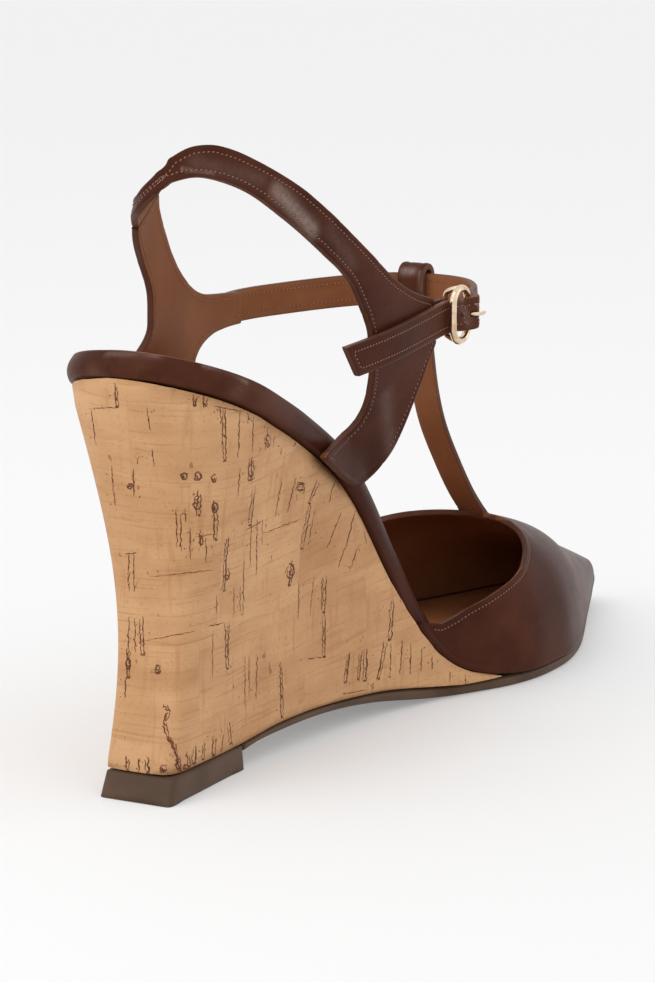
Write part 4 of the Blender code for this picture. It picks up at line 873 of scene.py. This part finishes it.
def stitch_tree(name):
    """A node group that lays one small ball, drawn long, at each step of the rows."""
    tree = bpy.data.node_groups.new(name, "GeometryNodeTree")
    face = tree.interface
    face.new_socket("Rows", in_out="INPUT", socket_type="NodeSocketGeometry")
    for label, value in THREAD:
        face.new_socket(label, in_out="INPUT", socket_type="NodeSocketFloat").default_value = value
    face.new_socket("Finish", in_out="INPUT", socket_type="NodeSocketMaterial")
    face.new_socket("Stitches", in_out="OUTPUT", socket_type="NodeSocketGeometry")
    nodes, links = tree.nodes, tree.links
    start, end = nodes.new("NodeGroupInput"), nodes.new("NodeGroupOutput")
    curve = nodes.new("GeometryNodeMeshToCurve")
    even = nodes.new("GeometryNodeResampleCurve")
    even.mode = "LENGTH"
    links.new(start.outputs["Rows"], curve.inputs["Mesh"])
    links.new(curve.outputs["Curve"], even.inputs["Curve"])
    links.new(start.outputs["Pitch"], even.inputs["Length"])
    ball = nodes.new("GeometryNodeMeshUVSphere")
    ball.inputs["Segments"].default_value = AROUND
    ball.inputs["Rings"].default_value = RINGS
    ball.inputs["Radius"].default_value = 0.5
    size = nodes.new("ShaderNodeCombineXYZ")
    for label, way in (("Long", "X"), ("Wide", "Y"), ("Tall", "Z")):
        links.new(start.outputs[label], size.inputs[way])
    turn = nodes.new("ShaderNodeCombineXYZ")
    links.new(start.outputs["Slant"], turn.inputs["Z"])
    shape = nodes.new("GeometryNodeTransform")
    links.new(ball.outputs["Mesh"], shape.inputs["Geometry"])
    links.new(size.outputs["Vector"], shape.inputs["Scale"])
    links.new(turn.outputs["Vector"], shape.inputs["Rotation"])
    along = nodes.new("GeometryNodeInputTangent")
    up = nodes.new("GeometryNodeInputNamedAttribute")
    up.data_type = "FLOAT_VECTOR"
    up.inputs["Name"].default_value = "up"
    first = nodes.new("FunctionNodeAlignRotationToVector")
    first.axis = "X"
    links.new(along.outputs["Tangent"], first.inputs["Vector"])
    second = nodes.new("FunctionNodeAlignRotationToVector")
    second.axis = "Z"
    second.pivot_axis = "X"
    links.new(first.outputs["Rotation"], second.inputs["Rotation"])
    links.new(up.outputs["Attribute"], second.inputs["Vector"])
    lay = nodes.new("GeometryNodeInstanceOnPoints")
    links.new(even.outputs["Curve"], lay.inputs["Points"])
    links.new(shape.outputs["Geometry"], lay.inputs["Instance"])
    links.new(second.outputs["Rotation"], lay.inputs["Rotation"])
    real = nodes.new("GeometryNodeRealizeInstances")
    links.new(lay.outputs["Instances"], real.inputs["Geometry"])
    dye = nodes.new("GeometryNodeSetMaterial")
    links.new(real.outputs["Geometry"], dye.inputs["Geometry"])
    links.new(start.outputs["Finish"], dye.inputs["Material"])
    links.new(dye.outputs["Geometry"], end.inputs["Stitches"])
    return tree


STITCHES = stitch_tree("stitches")
dark_thread = make_plain("dark_thread", tint(134, 92, 74), 0.6)
tan_thread = make_plain("tan_thread", tint(138, 90, 62), 0.6)
# Painted shade for the needle pits and tail holes, dark on the calf and tan on the lining.
painted_pit_shade = make_plain("needle_pit_shade", tint(36, 18, 12), 0.8)
painted_tan_pit_shade = make_plain("painted_tan_pit_shade", tint(84, 48, 30), 0.8)
print("stitch tree:", len(STITCHES.nodes), "nodes")


def sew(name, rows, sizes, finish):
    """One stitch, or one dark ball of painted pit shade, after another along the rows that edge_row
    gives.
    """
    spots, ups, links = [], [], []
    for some, normals, pairs in rows:
        links += [(a + len(spots), b + len(spots)) for a, b in pairs]
        spots += some
        ups += normals
    mesh = bpy.data.meshes.new(name)
    mesh.from_pydata(spots, links, [])
    mesh.attributes.new("up", "FLOAT_VECTOR", "POINT").data.foreach_set(
        "vector", [value for up in ups for value in up])
    piece = bpy.data.objects.new(name, mesh)
    scene.collection.objects.link(piece)
    layer = piece.modifiers.new("stitches", "NODES")
    layer.node_group = STITCHES
    chosen = dict(sizes, Finish=finish)
    for socket in STITCHES.interface.items_tree:
        if socket.name in chosen:
            layer[socket.identifier] = chosen[socket.name]
    bake(piece)
    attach(piece, "root")
    print(name, len(piece.data.polygons) // (AROUND * RINGS), "pieces")


# %% Sew the edges
FEATHER_STEP = 2.0 * MM
FEATHER_ROOM = 5.0 * MM
THROAT_FROM = 0.093
SEAT_TOP = 0.068
feather = {}
for vertex in vamp.data.vertices:
    column = round(vertex.co.x / FEATHER_STEP)
    feather[column] = min(feather.get(column, math.inf), vertex.co.z)


def above_feather(point):
    """True on topline and T-strap, false at the feather edge, where the vamp meets the sole."""
    low = feather.get(round(point.x / FEATHER_STEP), math.inf)
    return point.z > low + FEATHER_ROOM and point.x > THROAT_FROM


def above_cork(point):
    """True on the edges that show, false on the end that goes under the footbed."""
    return point.z > SEAT_TOP


def not_folded(point):
    """False on the fold of the T-strap and where it lies over the ankle strap."""
    return above_feather(point) and point.z < LOOP_FROM


SEAMS = (
    # name, rows, thread, painted pit shade
    ("vamp", [edge_row(vamp, OUTSIDE, INSET, not_folded)], dark_thread, painted_pit_shade),
    ("outer_quarter", [edge_row(outer_quarter, OUTSIDE, INSET, above_cork)], dark_thread, painted_pit_shade),
    ("inner_quarter", [edge_row(inner_quarter, OUTSIDE, INSET, above_cork)], dark_thread, painted_pit_shade),
    ("ankle_strap", [edge_row(ankle_strap, OUTSIDE, INSET, above_cork)], dark_thread, painted_pit_shade),
    ("lining", [edge_row(sheet, INSIDE, INSET, above_cork)
                for sheet in (inner_quarter, outer_quarter, ankle_strap)], tan_thread, painted_tan_pit_shade),
)
for name, rows, thread, pit_shade in SEAMS:
    sew(name + "_needle_pit_shades", rows, NEEDLE_PIT_SHADE, pit_shade)
    sew(name + "_stitches", rows, THREAD, thread)

# %% [markdown]
# ## Holes in the tail
# The tail has round holes for the prong. They are shown as small discs of painted shade, dark like
# the inside of a hole, that lie on the leather at their spots in the picture.

# %% Holes of the tail
HOLES = ((438, 320), (462, 315))
HOLE_RADIUS = 0.55 * MM
HOLE_LIFT = 0.04 * MM
HOLE_CORNERS = 20
strap_shell = BVHTree.FromObject(ankle_strap, bpy.context.evaluated_depsgraph_get())
holes = bmesh.new()
for across, down in HOLES:
    spot, normal, _, _ = strap_shell.ray_cast(CAMERA_SPOT, sight(across, down))
    if spot is None:
        continue
    turn = normal.to_track_quat("Z", "Y")
    ring = []
    for corner in range(HOLE_CORNERS):
        angle = math.tau * corner / HOLE_CORNERS
        out = turn @ Vector((math.cos(angle), math.sin(angle), 0.0)) * HOLE_RADIUS
        ring.append(holes.verts.new(spot + normal * HOLE_LIFT + out))
    holes.faces.new(ring)
hole_shade_mesh = bpy.data.meshes.new("tail_hole_shades")
holes.to_mesh(hole_shade_mesh)
holes.free()
# The discs carry the painted shade of the pits.
hole_shade_mesh.materials.append(painted_pit_shade)
show("tail_hole_shades", hole_shade_mesh)
print("holes:", len(hole_shade_mesh.polygons))

# %% Sizes
low, high = cad_box
seen_low, seen_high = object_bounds()
for name, reach in (("solids", high - low), ("scene", seen_high - seen_low)):
    print(name, "box in mm:", [round(side / MM, 1) for side in reach])
